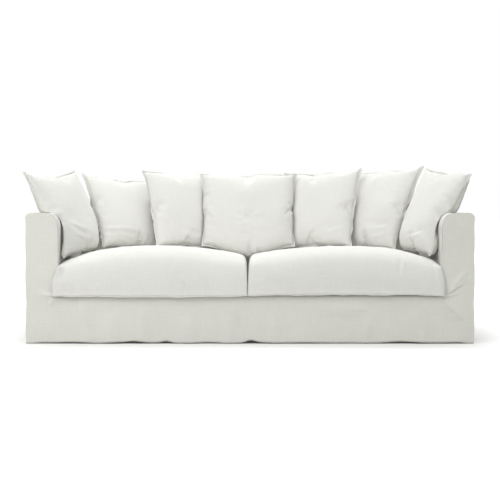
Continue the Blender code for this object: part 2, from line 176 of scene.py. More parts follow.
# Stonewashed plain-weave linen: dull, faintly uneven in tone, with thick slubs along both threads
def stonewashedLinen(name):
    colours = linens[name]
    material = bpy.data.materials.new(name)
    material.use_nodes = True
    tree = material.node_tree
    shader = tree.nodes["Principled BSDF"]
    for name, value in surface.items():
        shader.inputs[name].default_value = value
    grain = addNode(tree, "UVMap", uv_map="grain")

    # Slubs: noise stretched along the warp, and along the weft
    across, along = 1 / weave["slubWidth"], 1 / weave["slubLength"]
    slubs = []
    for scale in ((across, along, 1), (along, across, 1)):
        stretched = addNode(tree, "Mapping", {"Vector": grain, "Scale": scale})
        yarn = {"Vector": stretched, "Scale": 1.0, "Detail": 2.0, "Roughness": 0.55}
        streaks = addNode(tree, "TexNoise", yarn, noise_dimensions="2D")
        slubs.append(addNode(tree, "MapRange", {"Value": streaks, "From Min": 0.48, "From Max": 0.72}))
    slub = addNode(tree, "Math", {0: slubs[0], 1: slubs[1]}, operation="MAXIMUM")

    # Plain weave: rounded threads both ways
    threads = {
        "Vector": grain,
        "Scale": math.tau / (20 * weave["threadPitch"]),
        "Distortion": 0.6,
        "Detail": 1.0,
        "Detail Scale": 0.4,
    }
    warp, weft = (addNode(tree, "TexWave", threads, "Fac", bands_direction=axis) for axis in "XY")
    crossing = addNode(tree, "Math", {0: warp, 1: weft}, operation="MULTIPLY")
    height = addNode(tree, "Math", {0: slub, 1: 0.8, 2: crossing}, operation="MULTIPLY_ADD")
    relief = addNode(tree, "Bump", {"Height": height, "Strength": 0.55, "Distance": weave["bump"]})
    tree.links.new(relief, shader.inputs["Normal"])

    # Colour: washed patches, then lighter slubs, then painted shade between the threads
    wash = {"Vector": grain, "Scale": 1 / weave["washing"], "Detail": 4.0}
    patches = addNode(tree, "TexNoise", wash, noise_dimensions="2D")
    base, shade, light = (linear(colours[key]) for key in ("base", "shade", "slub"))
    washed = addNode(tree, "Mix", {0: patches, 6: base, 7: shade}, 2, data_type="RGBA")
    slubShare = addNode(tree, "Math", {0: slub, 1: 0.55}, operation="MULTIPLY")
    streaked = addNode(tree, "Mix", {0: slubShare, 6: washed, 7: light}, 2, data_type="RGBA")
    # Painted shade: the colour is up to 7% darker in the gaps between the threads
    gapShadeRange = {"Value": crossing, "From Min": 0.0, "From Max": 0.5, "To Min": 0.93, "To Max": 1.0}
    gaps = addNode(tree, "MapRange", gapShadeRange)
    layers = {0: 1.0, 6: streaked, 7: gaps}
    woven = addNode(tree, "Mix", layers, 2, data_type="RGBA", blend_type="MULTIPLY")
    tree.links.new(woven, shader.inputs["Base Color"])
    return material


coverLinen = stonewashedLinen("coverLinen")
cushionLinen = stonewashedLinen("cushionLinen")
print("linen ready")


folds = {
    # soft, wide ridges: along and up at the top, then at the bottom, width, height
    "front": (
        (-1.010, 0.225, -1.085, 0.255, 0.026, 0.005),
        (-0.880, 0.240, -0.845, 0.030, 0.034, 0.007),
        (-0.735, 0.170, -0.720, 0.000, 0.032, 0.006),
        (-0.560, 0.235, -0.575, 0.020, 0.036, 0.005),
        (-0.330, 0.150, -0.305, 0.000, 0.036, 0.007),
        (-0.100, 0.215, -0.110, 0.000, 0.034, 0.005),
        (0.120, 0.160, 0.140, 0.000, 0.036, 0.006),
        (0.330, 0.190, 0.560, 0.170, 0.034, 0.005),
        (0.620, 0.140, 0.600, 0.000, 0.034, 0.006),
        (0.860, 0.190, 0.900, 0.000, 0.036, 0.007),
        (1.025, 0.265, 1.105, 0.335, 0.024, 0.006),
        (1.000, 0.235, 1.080, 0.150, 0.026, 0.007),
    ),
    "side": (
        (0.160, 0.520, 0.130, 0.000, 0.050, 0.006),
        (0.420, 0.300, 0.450, 0.000, 0.055, 0.008),
        (0.700, 0.560, 0.660, 0.020, 0.050, 0.006),
        (0.880, 0.260, 0.870, 0.000, 0.050, 0.006),
    ),
    "back": (
        (0.200, 0.420, 0.160, 0.000, 0.060, 0.008),
        (0.560, 0.240, 0.600, 0.000, 0.065, 0.009),
        (0.980, 0.560, 1.010, 0.000, 0.060, 0.007),
        (1.380, 0.300, 1.340, 0.000, 0.065, 0.009),
        (1.800, 0.520, 1.830, 0.000, 0.060, 0.007),
        (2.140, 0.280, 2.170, 0.000, 0.055, 0.008),
    ),
    "hemRise": 0.0045,  # how far the front hem hangs clear of the floor
    "hemLifts": (  # x, width, further lift of the front hem
        (-0.610, 0.050, 0.007),
        (-0.435, 0.030, 0.008),
        (0.005, 0.035, 0.014),
        (0.300, 0.090, 0.003),
        (0.800, 0.120, 0.004),
    ),
    "hemWaves": ((1.13, 0.6, 0.25), (2.75, 2.1, 0.15), (4.93, 0.0, 0.10)),
    "hemSwing": 0.007,
    "swingHeight": 0.220,
    "cornerWander": 0.004,
    # height and number a metre of the cloth's unevenness, and of the puckers of its turned-up hem
    "unevenness": {"front": (0.0018, 7.0), "side": (0.0020, 6.0), "back": (0.0020, 6.0)},
    "hemPuckers": {"front": (0.0012, 42.0), "side": (0.0012, 40.0), "back": (0.0012, 40.0)},
    "railUnevenness": (0.0010, 0.0014, 8.0),  # over its taut top, further in, number a metre
}
# Sharp creases: from, to, width, height. A ridge with a groove beside it
creases = {
    "front": (
        (1.008, 0.250, 1.118, 0.318, 0.0066, 0.0038),
        (1.016, 0.243, 1.098, 0.262, 0.0056, 0.0022),
        (1.004, 0.238, 1.070, 0.160, 0.0066, 0.0038),
        (0.990, 0.236, 1.020, 0.168, 0.0060, 0.0024),
        (1.060, 0.300, 1.140, 0.392, 0.0100, 0.0020),
        (1.050, 0.190, 1.130, 0.120, 0.0110, 0.0022),
        (-1.008, 0.250, -1.096, 0.262, 0.0080, 0.0030),
        (-1.010, 0.242, -1.064, 0.200, 0.0075, 0.0022),
        (-0.890, 0.232, -0.846, 0.080, 0.0120, 0.0022),
        (-0.495, 0.205, -0.486, 0.110, 0.0100, 0.0016),
        (-0.700, 0.150, -0.690, 0.015, 0.0110, 0.0014),
        (0.270, 0.192, 0.380, 0.186, 0.0080, 0.0012),
        (0.500, 0.184, 0.640, 0.178, 0.0085, 0.0018),
        (0.130, 0.140, 0.140, 0.020, 0.0110, 0.0014),
        (0.905, 0.120, 0.918, 0.012, 0.0110, 0.0016),
        (-0.230, 0.130, -0.236, 0.010, 0.0120, 0.0012),
    ),
    "side": (
        (0.030, 0.300, 0.150, 0.210, 0.0120, 0.0022),
        (0.040, 0.140, 0.170, 0.060, 0.0120, 0.0020),
        (0.520, 0.250, 0.560, 0.060, 0.0140, 0.0020),
        (0.820, 0.420, 0.760, 0.260, 0.0130, 0.0018),
        (0.300, 0.560, 0.360, 0.470, 0.0120, 0.0014),
    ),
    "back": (
        (0.060, 0.330, 0.210, 0.240, 0.0130, 0.0024),
        (0.420, 0.220, 0.470, 0.040, 0.0140, 0.0022),
        (0.900, 0.480, 0.820, 0.300, 0.0140, 0.0018),
        (1.240, 0.200, 1.260, 0.030, 0.0140, 0.0022),
        (1.620, 0.440, 1.700, 0.300, 0.0130, 0.0018),
        (2.000, 0.230, 1.960, 0.050, 0.0140, 0.0022),
        (2.260, 0.360, 2.150, 0.260, 0.0120, 0.0020),
    ),
    "arm": (
        (0.120, 0.300, 0.230, 0.380, 0.0100, 0.0020),
        (0.180, 0.520, 0.150, 0.610, 0.0110, 0.0016),
        (0.560, 0.340, 0.680, 0.420, 0.0110, 0.0018),
        (0.330, 0.060, 0.350, 0.160, 0.0110, 0.0012),
        (0.700, 0.080, 0.690, 0.180, 0.0110, 0.0012),
    ),
}


def foldHeight(rows, along, up):
    total = np.zeros(np.shape(along))
    for alongTop, upTop, alongBottom, upBottom, width, height in rows:
        run, rise = alongBottom - alongTop, upBottom - upTop
        share = ((along - alongTop) * run + (up - upTop) * rise) / (run * run + rise * rise)
        held = np.clip(share, 0.0, 1.0)
        distance = np.hypot(along - alongTop - held * run, up - upTop - held * rise)
        growth = 0.25 + 0.75 * smoothStep(held / 0.35)
        total += height * growth * np.exp(-((distance / width) ** 2))
    return total


def creaseHeight(rows, along, up):
    total = np.zeros(np.shape(along))
    for a0, u0, a1, u1, width, height in rows:
        run, rise = a1 - a0, u1 - u0
        length = math.hypot(run, rise)
        share = ((along - a0) * run + (up - u0) * rise) / (length * length)
        aside = ((along - a0) * rise - (up - u0) * run) / length
        aside = aside + 0.35 * width * np.sin(share * 7.0 + a0 * 40)
        spread = width * (0.7 + 0.6 * np.clip(share, 0, 1))
        ends = smoothStep((share + 0.08) / 0.22) * smoothStep((1.08 - share) / 0.45)
        ridge = np.exp(-((aside / spread) ** 2)) - 0.7 * np.exp(-(((aside - 1.7 * spread) / spread) ** 2))
        total += height * ends * ridge
    return total


def hemSwing(along, up):
    waves = sum(share * np.sin(math.tau * rate * along + phase) for rate, phase, share in folds["hemWaves"])
    return folds["hemSwing"] * (0.5 + waves) * (1 - smoothStep(up / folds["swingHeight"])) ** 1.4


def hemLift(x):
    return sum(lift * np.exp(-(((x - centre) / width) ** 2)) for centre, width, lift in folds["hemLifts"])


def cornerWander(up):
    return folds["cornerWander"] * np.sin(up * 13.0 + 0.4) * smoothStep((topSeamZ - up) / 0.2)


def railProfile(beyond):
    share = 1 - np.minimum(1.0, np.maximum(0.0, beyond) / rollAcross)
    return cover["height"] - rollDown + rollDown * np.sqrt(1 - share * share)


def armOutlineZ(across):
    corner = np.sqrt(np.maximum(0.0, outerRadius**2 - (outerRadius - across) ** 2))
    return np.where(across < outerRadius, topSeamZ + corner, railProfile(armWidth - across))


def spaced(start, end, cells):
    return list(np.linspace(start, end, cells + 1))


# One sheet of cloth from a grid of points on its outer face, with the thickness inside. cutOut
# marks the cells that are left out
def clothPanel(name, grid, uv, node, cutOut=None, flip=False, **sheet):
    grid = np.asarray(grid, float)
    rows, columns = grid.shape[:2]
    quads = np.array(gridFaces(np.arange(rows * columns).reshape(rows, columns)))
    if cutOut is not None:
        quads = quads[~cutOut.ravel()]
    used = np.zeros(rows * columns, bool)
    used[quads] = True
    quads = (np.cumsum(used) - 1)[quads]
    faces = (quads[:, ::-1] if flip else quads).tolist()
    flatUv = np.asarray(uv, float).reshape(-1, 2)[used]
    mesh = makeMesh(name, grid.reshape(-1, 3)[used], faces, flatUv)
    piece = addPiece(name, mesh, coverLinen, [node])
    thickness = piece.modifiers.new("thickness", "SOLIDIFY")
    thickness.thickness = clothThick
    thickness.offset = -1.0
    return piece


def frontPanel():
    flatEnd = armWidth - rollAcross
    cell = cover["cell"]
    steps = [outerRadius * (1 - math.cos(math.radians(angle))) for angle in range(0, 91, 15)]
    steps += spaced(outerRadius, flatEnd, 18)[1:]
    steps += [flatEnd + rollAcross * math.sin(math.radians(angle)) for angle in range(9, 91, 9)]
    leftArm = [step - halfWidth for step in steps]
    apron = spaced(-armFaceX, armFaceX, round(2 * armFaceX / cell))[1:-1]
    columns = np.array(leftArm + apron + [-x for x in reversed(leftArm)])
    # Rows of the apron, with the last ones round its turned-in top
    turn = cover["apronTurn"]
    shares = spaced(0.0, 1 - turn / deckZ, 24)
    shares += [1 - turn / deckZ * (1 - math.sin(math.radians(angle))) for angle in range(15, 91, 15)]
    apronRows, armRows = len(shares) - 1, 84
    shares = np.array(shares + [1.0] * armRows)[:, None]
    x = np.tile(columns, (apronRows + armRows + 1, 1))
    row = np.arange(apronRows + armRows + 1)[:, None]
    hemDrift = rumple(np.stack([columns, 0 * columns, 0 * columns], -1), 5.5, 31, 2)
    hang = folds["hemRise"] * (0.5 + np.clip(hemDrift + 0.2, 0, 1))
    foot = hemLift(x) + hang * edgeFade(x, -1.15, 1.15, 0.06)
    top = armOutlineZ(halfWidth - np.abs(x))
    low = foot + (deckZ - foot) * shares
    high = deckZ + (top - deckZ) * (row - apronRows) / armRows
    z = np.where(row <= apronRows, low, high)
    shift = cornerWander(z) * smoothStep((np.abs(x) - armFaceX) / armWidth)
    fade = edgeFade(x, -halfWidth, halfWidth, 0.05) * smoothStep((cover["height"] - z) / 0.1)
    out = (foldHeight(folds["front"], x, z) + hemSwing(x, z)) * fade
    flat = np.stack([x, 0 * x, z], -1)
    fineFade = edgeFade(x, -halfWidth, halfWidth, 0.02) * smoothStep((top - z) / 0.03)
    out += creaseHeight(creases["front"], x, z) * fineFade
    uneven, unevenPerMetre = folds["unevenness"]["front"]
    out += uneven * rumple(flat, unevenPerMetre, 1, 3) * fineFade
    pucker, puckerPerMetre = folds["hemPuckers"]["front"]
    out += pucker * rumple(flat * [1, 1, 0.25], puckerPerMetre, 2) * smoothStep((0.05 - z) / 0.05)
    turnIn = 1 - np.sqrt(1 - np.clip((z - deckZ) / turn + 1, 0, 1) ** 2)
    turnIn = turnIn * turn * smoothStep((armFaceX + 0.004 - np.abs(x)) / 0.02) * (row <= apronRows)
    grid = np.stack([x + np.copysign(shift, x), frontY - out + turnIn, z], -1)
    cutOut = np.zeros((len(x) - 1, len(columns) - 1), bool)
    cutOut[apronRows:, len(leftArm) - 1 : len(leftArm) + len(apron)] = True
    clothPanel(
        "frontPanel",
        grid,
        np.stack([x, z], -1),
        "front_panel",
        cutOut,
        flat=(2.34, 0.68),
        held="hung",
        rests_on=["arm_panel_left", "arm_panel_right", "deck"],
        area=0.73,
    )


# A panel hung from its top seam to the floor: where along it, how high, how far out, and its UV.
# layer is the slice of noise that shapes it, phase where the swing of its hem begins
def hungCloth(kind, start, end, origin, layer, phase, seeds, shiftUv):
    ways = spaced(start, end, round((end - start) / cover["cell"]))
    at, z = np.meshgrid(ways, spaced(0.0, topSeamZ - seamGap, 68))
    along = at - origin
    fade = edgeFade(at, start, end, 0.07) * smoothStep((topSeamZ - z) / 0.12)
    out = (foldHeight(folds[kind], at - start, z) + hemSwing(along + phase, z)) * fade
    fine = edgeFade(at, start, end, 0.03) * smoothStep((topSeamZ - z) / 0.04)
    out += creaseHeight(creases[kind], at - start, z) * fine
    flat = np.stack([along, z, 0 * z + layer], -1)
    uneven, unevenPerMetre = folds["unevenness"][kind]
    out += uneven * rumple(flat, unevenPerMetre, seeds[0], 3) * fine
    pucker, puckerPerMetre = folds["hemPuckers"][kind]
    atHem = smoothStep((0.05 - z) / 0.05)
    out += pucker * rumple(flat * [1, 0.25, 1], puckerPerMetre, seeds[1]) * atHem
    return at, z, out, np.stack([along + shiftUv, z], -1)


def sidePanel(side, hand):
    start, end = frontY + clothThick + seamGap, backY - clothThick - seamGap
    noiseOf = {"layer": side, "phase": side, "seeds": (3 + side, 5 + side)}
    y, z, out, uv = hungCloth("side", start, end, origin=start, shiftUv=4, **noiseOf)
    out += cornerWander(z) * (1 - smoothStep((y - start) / 0.35))
    grid = np.stack([side * (halfWidth + out), y, z], -1)
    sheet = {"flat": (0.98, 0.65), "held": "hung", "rests_on": [f"arm_panel_{hand}"]}
    clothPanel(f"sidePanel_{hand}", grid, uv, f"side_panel_{hand}", flip=side < 0, **sheet)


def outsideBack():
    noiseOf = {"layer": 9, "phase": cover["width"], "seeds": (8, 9)}
    x, z, out, uv = hungCloth("back", -halfWidth, halfWidth, origin=0.0, shiftUv=8, **noiseOf)
    grid = np.stack([x, backY + out, z], -1)
    sheet = {"flat": (2.34, 0.65), "held": "hung", "rests_on": ["inside_back"]}
    clothPanel("outsideBack", grid, uv, "outside_back", flip=True, **sheet)


# The way over an arm or the back, from the outer top seam to the deck: across, z and the way out
def railSection(deepest):
    rows = []
    for angle in range(0, 91, 15):
        turn = math.radians(angle)
        out = (-math.cos(turn), math.sin(turn))
        rows.append((outerRadius + outerRadius * out[0], topSeamZ + outerRadius * out[1], *out))
    flatEnd = armWidth - rollAcross
    for across in spaced(outerRadius, flatEnd, 9)[1:-1]:
        rows.append((across, cover["height"], 0.0, 1.0))
    for angle in range(0, 91, 10):
        turn = math.radians(angle)
        out = Vector((math.sin(turn) / rollAcross, math.cos(turn) / rollDown)).normalized()
        z = cover["height"] - rollDown + rollDown * math.cos(turn)
        rows.append((flatEnd + rollAcross * math.sin(turn), z, out.x, out.y))
    for z in spaced(cover["height"] - rollDown, deckZ + seamGap, 34)[1:]:
        rows.append((armWidth, z, 1.0, 0.0))
    section = np.array(rows)
    section[:, 0] *= deepest / armWidth
    return section


# A panel laid over a rail, with how far in from the outer face and how high each point is
def railCloth(section, along, ends, layer, seed, shiftUv, rows=()):
    steps = np.hypot(np.diff(section[:, 0]), np.diff(section[:, 1]))
    way = np.concatenate([[0.0], np.cumsum(steps)])
    up = np.tile(way[:, None], (1, along.shape[1]))
    inner = smoothStep((up - 0.20) / 0.08)  # the top stays taut
    edges = ends * (smoothStep((way[-1] - up) / 0.03) * smoothStep(up / 0.03))
    flat = np.stack([along, up, 0 * up + layer], -1)
    out = creaseHeight(rows, along, up) * edges
    taut, loose, perMetre = folds["railUnevenness"]
    out += (taut + loose * inner) * rumple(flat, perMetre, seed, 3) * edges
    across, z = (section[:, k : k + 1] + out * section[:, k + 2 : k + 3] for k in (0, 1))
    return across, z, np.stack([along + shiftUv, up], -1)


def armPanel(side, hand):
    section = railSection(armWidth)
    start = frontY + clothThick + seamGap
    ends = backY - section[:, :1] * backDepth / armWidth - seamGap
    y = start + (ends - start) * np.linspace(0, 1, 96)
    atEnds = smoothStep((y - start) / 0.02) * smoothStep((ends - y) / 0.03)
    noiseOf = {"layer": side * 2, "seed": 11 + side}
    rows = creases["arm"]
    across, z, uv = railCloth(section, y - start, atEnds, shiftUv=12 + side, rows=rows, **noiseOf)
    grid = np.stack([side * (halfWidth - across), y, z], -1)
    sheet = {"flat": (0.98, 0.59), "held": "stretched", "rests_on": ["deck"], "area": 0.53}
    clothPanel(f"armPanel_{hand}", grid, uv, f"arm_panel_{hand}", flip=side > 0, **sheet)


def insideBack():
    section = railSection(backDepth)
    reach = halfWidth - section[:, :1] * armWidth / backDepth
    x = reach * np.linspace(-1, 1, 230)
    atEnds = smoothStep((reach - np.abs(x)) / 0.03)
    across, z, uv = railCloth(section, x, atEnds, layer=5, seed=15, shiftUv=16)
    grid = np.stack([x, backY - across, z], -1)
    sheet = {"flat": (2.34, 0.63), "held": "stretched", "rests_on": ["deck"], "area": 1.38}
    clothPanel("insideBack", grid, uv, "inside_back", **sheet)


def deck():
    front, back = frontY + cover["apronTurn"] + clothThick + seamGap, backFaceY + clothThick
    reach = armFaceX + clothThick
    x, y = np.meshgrid(spaced(-reach, reach, 60), spaced(front, back, 24))
    grid, uv = np.stack([x, y, 0 * x + deckZ], -1), np.stack([x + 20, y], -1)
    clothPanel("deck_platform", grid, uv, "deck", flat=(2.01, 0.79), held="stretched")


frontPanel()
for side, hand in ((-1, "left"), (1, "right")):
    sidePanel(side, hand)
    armPanel(side, hand)
outsideBack()
insideBack()
deck()
print("cover panels ready")


seats = {
    "frontY": -0.507,
    "splitX": -0.012,
    "frontLift": {"left": -0.006, "right": 0.005},  # the right one rides up over the apron
    "sideRise": 0.165,  # at the arms
    "innerRise": 0.192,  # where the two meet
    "crownRise": 0.250,
    "backSlope": 0.14,
    "corner": 0.045,
    "lobes": {"left": (0.036, 0.0), "right": (0.0, 0.018)},
    "lobeGap": 0.005,
    "wall": (  # inset, rise of the skin from the bottom seam to the top
        (0.000, 0.000),
        (-0.006, 0.040),
        (-0.004, 0.120),
        (-0.004, 0.250),
        (0.000, 0.450),
        (0.014, 0.640),
        (0.040, 0.810),
        (0.085, 0.930),
        (0.150, 0.990),
    ),
    "rings": 31,
    "coreInset": 0.18,
    "sideInset": 0.4,  # share of the inset that the ends take at the arms
    "innerInset": 0.18,  # and where the two meet
    "middleReach": 0.25,
    # how the front corners stand before the arms, with the lobes rounded over their top
    "swell": {
        "reach": 0.05,
        "roundFrom": 0.045,
        "roundHeight": 0.098,
        "top": 0.166,
        "fade": 0.018,
        "least": 0.006,
        "depth": 0.011,
    },
    "cell": 0.010,
    "gathers": (0.0030, 34.0),  # height and number a metre, over the bottom seam
    "unevenness": ((0.0042, 4.5), (0.0016, 16.0)),
    "rim": (0.0075, 0.0025),  # width of the seam's rim, and how much it varies
    "rimThickness": 0.003,
    "creaseDepth": 1.7,
    # creases of the front: from x, z to x, z, width, height
    "creases": (
        (-0.352, 0.340, -0.314, 0.266, 0.0090, 0.0040),
        (-0.243, 0.362, -0.226, 0.285, 0.0085, 0.0034),
        (-0.789, 0.335, -0.792, 0.276, 0.0085, 0.0026),
        (-0.392, 0.400, -0.374, 0.372, 0.0080, 0.0024),
        (-0.560, 0.300, -0.548, 0.262, 0.0070, 0.0018),
        (-0.940, 0.330, -0.925, 0.262, 0.0090, 0.0022),
        (0.357, 0.425, 0.374, 0.398, 0.0080, 0.0028),
        (0.240, 0.420, 0.232, 0.392, 0.0070, 0.0016),
        (0.534, 0.395, 0.534, 0.330, 0.0085, 0.0030),
        (0.420, 0.350, 0.414, 0.300, 0.0080, 0.0018),
        (0.800, 0.440, 0.796, 0.340, 0.0090, 0.0036),
        (0.690, 0.380, 0.684, 0.330, 0.0080, 0.0020),
        (0.980, 0.405, 0.984, 0.280, 0.0085, 0.0036),
        (0.100, 0.300, 0.106, 0.262, 0.0070, 0.0018),
    ),
}


def seatRise(x, y, left, right):
    across = np.minimum(1.0, np.abs(2 * (x - left) / (right - left) - 1))
    along = (y - seats["frontY"]) / (backFaceY - seats["frontY"])
    crown = (1 - across**2.5) ** 0.85
    slope = 1 - seats["backSlope"] * smoothStep((along - 0.35) / 0.65)
    inner = smoothStep(1 - np.abs(x - seats["splitX"]) / 0.30)
    sideRise = seats["sideRise"] + (seats["innerRise"] - seats["sideRise"]) * inner
    return (sideRise + (seats["crownRise"] - sideRise) * crown) * slope


# One end of the plan, from back to front, with the lobe squeezed out before the arm
def seatEnd(edge, side, lobe):
    neck, front = frontY - seats["lobeGap"], seats["frontY"]
    way = [(edge, y) for y in spaced(backFaceY - seamGap - seats["corner"], neck + 0.002, 9)]
    if lobe:
        way += [(edge + side * lobe * share, y) for share, y in ((0.6, neck), (1.0, neck - 0.006))]
        way += [(edge + side * lobe * 0.75, front + 0.005), (edge + side * lobe * 0.1, front + 0.001)]
    else:
        way += [(edge, neck), (edge, front + 0.003), (edge - side * 0.004, front)]
    return way


def smoothCurve(known, values, wanted):
    # Cubic through the known points, with each slope from its neighbours
    slopes = np.gradient(values, known)
    i = np.clip(np.searchsorted(known, wanted) - 1, 0, len(known) - 2)
    step = known[i + 1] - known[i]
    t = (wanted - known[i]) / step
    a, b = values[i], values[i + 1]
    return (
        (1 + 2 * t) * (1 - t) ** 2 * a
        + t * (1 - t) ** 2 * step * slopes[i]
        + t * t * (3 - 2 * t) * b
        + t * t * (t - 1) * step * slopes[i + 1]
    )


def roundedLoop(points, times=3):
    points = np.asarray(points, float)
    for _ in range(times):
        following = np.roll(points, -1, axis=0)
        points = np.stack([0.75 * points + 0.25 * following, 0.25 * points + 0.75 * following], 1)
        points = points.reshape(-1, 2)
    return points


def resampled(points, cells):
    points = np.asarray(points, float)
    lengths = np.concatenate([[0], np.cumsum(np.linalg.norm(np.diff(points, axis=0), axis=1))])
    wanted = np.linspace(0, lengths[-1], cells + 1)
    return np.stack([np.interp(wanted, lengths, points[:, k]) for k in range(points.shape[1])], 1)


# The inside of a closed loop of four sides, each given by its points
def filledLoop(front, rightSide, back, leftSide):
    u = np.linspace(0, 1, len(front))[None, :, None]
    v = np.linspace(0, 1, len(leftSide))[:, None, None]
    ruled = (1 - v) * front[None] + v * back[None] + (1 - u) * leftSide[:, None] + u * rightSide[:, None]
    corners = (1 - u) * (1 - v) * front[0] + u * (1 - v) * front[-1]
    return ruled - corners - (1 - u) * v * back[0] - u * v * back[-1]


# The plan's edge in even steps: front, right side, back, left side, and the cells across and along
def seatPlan(hand, left, right, back):
    leftLobe, rightLobe = seats["lobes"][hand]
    front = seats["frontY"]
    middle, half = (left + right) / 2, (right - left) / 2
    outline = seatEnd(right, 1, rightLobe)
    outline += [(middle + half * share, front) for share in spaced(0.9, -0.9, 13)]
    outline += seatEnd(left, -1, leftLobe)[::-1]
    outline += [(middle + half * share, back) for share in spaced(-0.93, 0.93, 9)]
    loop = roundedLoop(outline)
    corners = [(left - leftLobe, front), (right + rightLobe, front), (right, back), (left, back)]
    at = [int(np.argmin(np.linalg.norm(loop - corner, axis=1))) for corner in corners]
    cellsX, cellsY = (round(size / seats["cell"]) for size in (right - left, back - front))
    sides = []
    for start, end, cells in zip(at, at[1:] + at[:1], (cellsX, cellsY, cellsX, cellsY)):
        # The loop runs against the way wanted here, from front left to front right to back
        span = (start - end) % len(loop)
        sides.append(resampled(loop[[(start - k) % len(loop) for k in range(span + 1)]], cells)[:-1])
    return np.concatenate(sides), cellsX, cellsY


# Rings up the wall from the bottom seam, one above the other
def seatWall(ring, left, right, foot):
    front, core = seats["frontY"], seats["coreInset"]
    wall = np.array(seats["wall"])
    shares = np.linspace(0, 1, len(wall))
    fine = np.linspace(0, 1, seats["rings"])
    insets, rises = (smoothCurve(shares, wall[:, k], fine) for k in (0, 1))
    coreX = np.clip(ring[:, 0], left + core, right - core)
    coreY = np.clip(ring[:, 1], front + core, backFaceY - core)
    inward = np.stack([coreX, coreY], 1) - ring
    inward /= np.linalg.norm(inward, axis=1)[:, None]
    atFront = smoothStep((frontY - ring[:, 1] + 0.01) / 0.02)
    nearMiddle = np.abs(ring[:, 0] - seats["splitX"]) < seats["middleReach"]
    points = []
    for inset, rise in zip(insets, rises):
        held = max(0.0, inset)  # the wall bulges at the front alone
        sideways = held * np.where(nearMiddle, seats["innerInset"], seats["sideInset"])
        ahead = np.where(atFront > 0, inset * atFront + held * (1 - atFront), held)
        xy = ring + inward * np.stack([sideways, ahead], 1)
        height = rise * seatRise(xy[:, 0], xy[:, 1], left, right)
        points.append(np.column_stack([xy, foot + height]))
    return points


# The top, filled in between the last ring, with the indices of its grid
def seatTop(last, cellsX, cellsY, left, right, foot, base):
    border = base + np.arange(len(last))
    corners = (0, cellsX, cellsX + cellsY, 2 * cellsX + cellsY)
    front, rightSide, back = (last[a : b + 1] for a, b in zip(corners, corners[1:]))
    leftSide = np.concatenate([last[corners[3] :], last[:1]])[::-1]
    top = filledLoop(front, rightSide, back[::-1], leftSide)
    column, row = np.arange(cellsX + 1)[None, :], np.arange(cellsY + 1)[:, None]
    fromEdge = np.minimum(np.minimum(column, cellsX - column), np.minimum(row, cellsY - row))
    risen = 0.99 + 0.01 * smoothStep(fromEdge / 6)
    top[..., 2] = foot + risen * seatRise(top[..., 0], top[..., 1], left, right)
    index = np.empty((cellsY + 1, cellsX + 1), int)
    index[0] = border[: corners[1] + 1]
    index[:, cellsX] = border[corners[1] : corners[2] + 1]
    index[cellsY] = border[corners[2] : corners[3] + 1][::-1]
    index[1:, 0] = border[corners[3] :][::-1]
    inner = top[1:cellsY, 1:cellsX].reshape(-1, 3)
    index[1:cellsY, 1:cellsX] = (border[-1] + 1 + np.arange(len(inner))).reshape(cellsY - 1, cellsX - 1)
    return inner, index


# The front corners swell out before the arms, and the lobes round off towards their top
def swollenCorners(moved, z, ring, rings, left, right, foot):
    swell = seats["swell"]
    inside = np.clip(moved[:, 0], left, right)
    over = np.maximum(0, z - foot - swell["roundFrom"]) / swell["roundHeight"]
    moved[:, 0] = inside + (moved[:, 0] - inside) * np.sqrt(np.clip(1 - over**2, 0, 1))
    neck = frontY - seats["lobeGap"]
    forward = np.zeros(len(moved))
    ahead = np.clip((neck - ring[:, 1]) / (neck - seats["frontY"]), 0, 1)
    forward[: rings * len(ring)] = np.tile(ahead, rings)
    share = smoothStep((np.abs(inside) - armFaceX + swell["reach"]) / 0.045) * smoothStep(forward / 0.3)
    share *= smoothStep((foot + swell["top"] - z) / swell["fade"])
    wanted = frontY - swell["least"] - swell["depth"] * forward
    moved[:, 1] += (np.minimum(moved[:, 1], wanted) - moved[:, 1]) * share
    held = moved[:, 1] > frontY - swell["least"]
    moved[held, 0] = np.clip(moved[held, 0], left, right)
    return moved


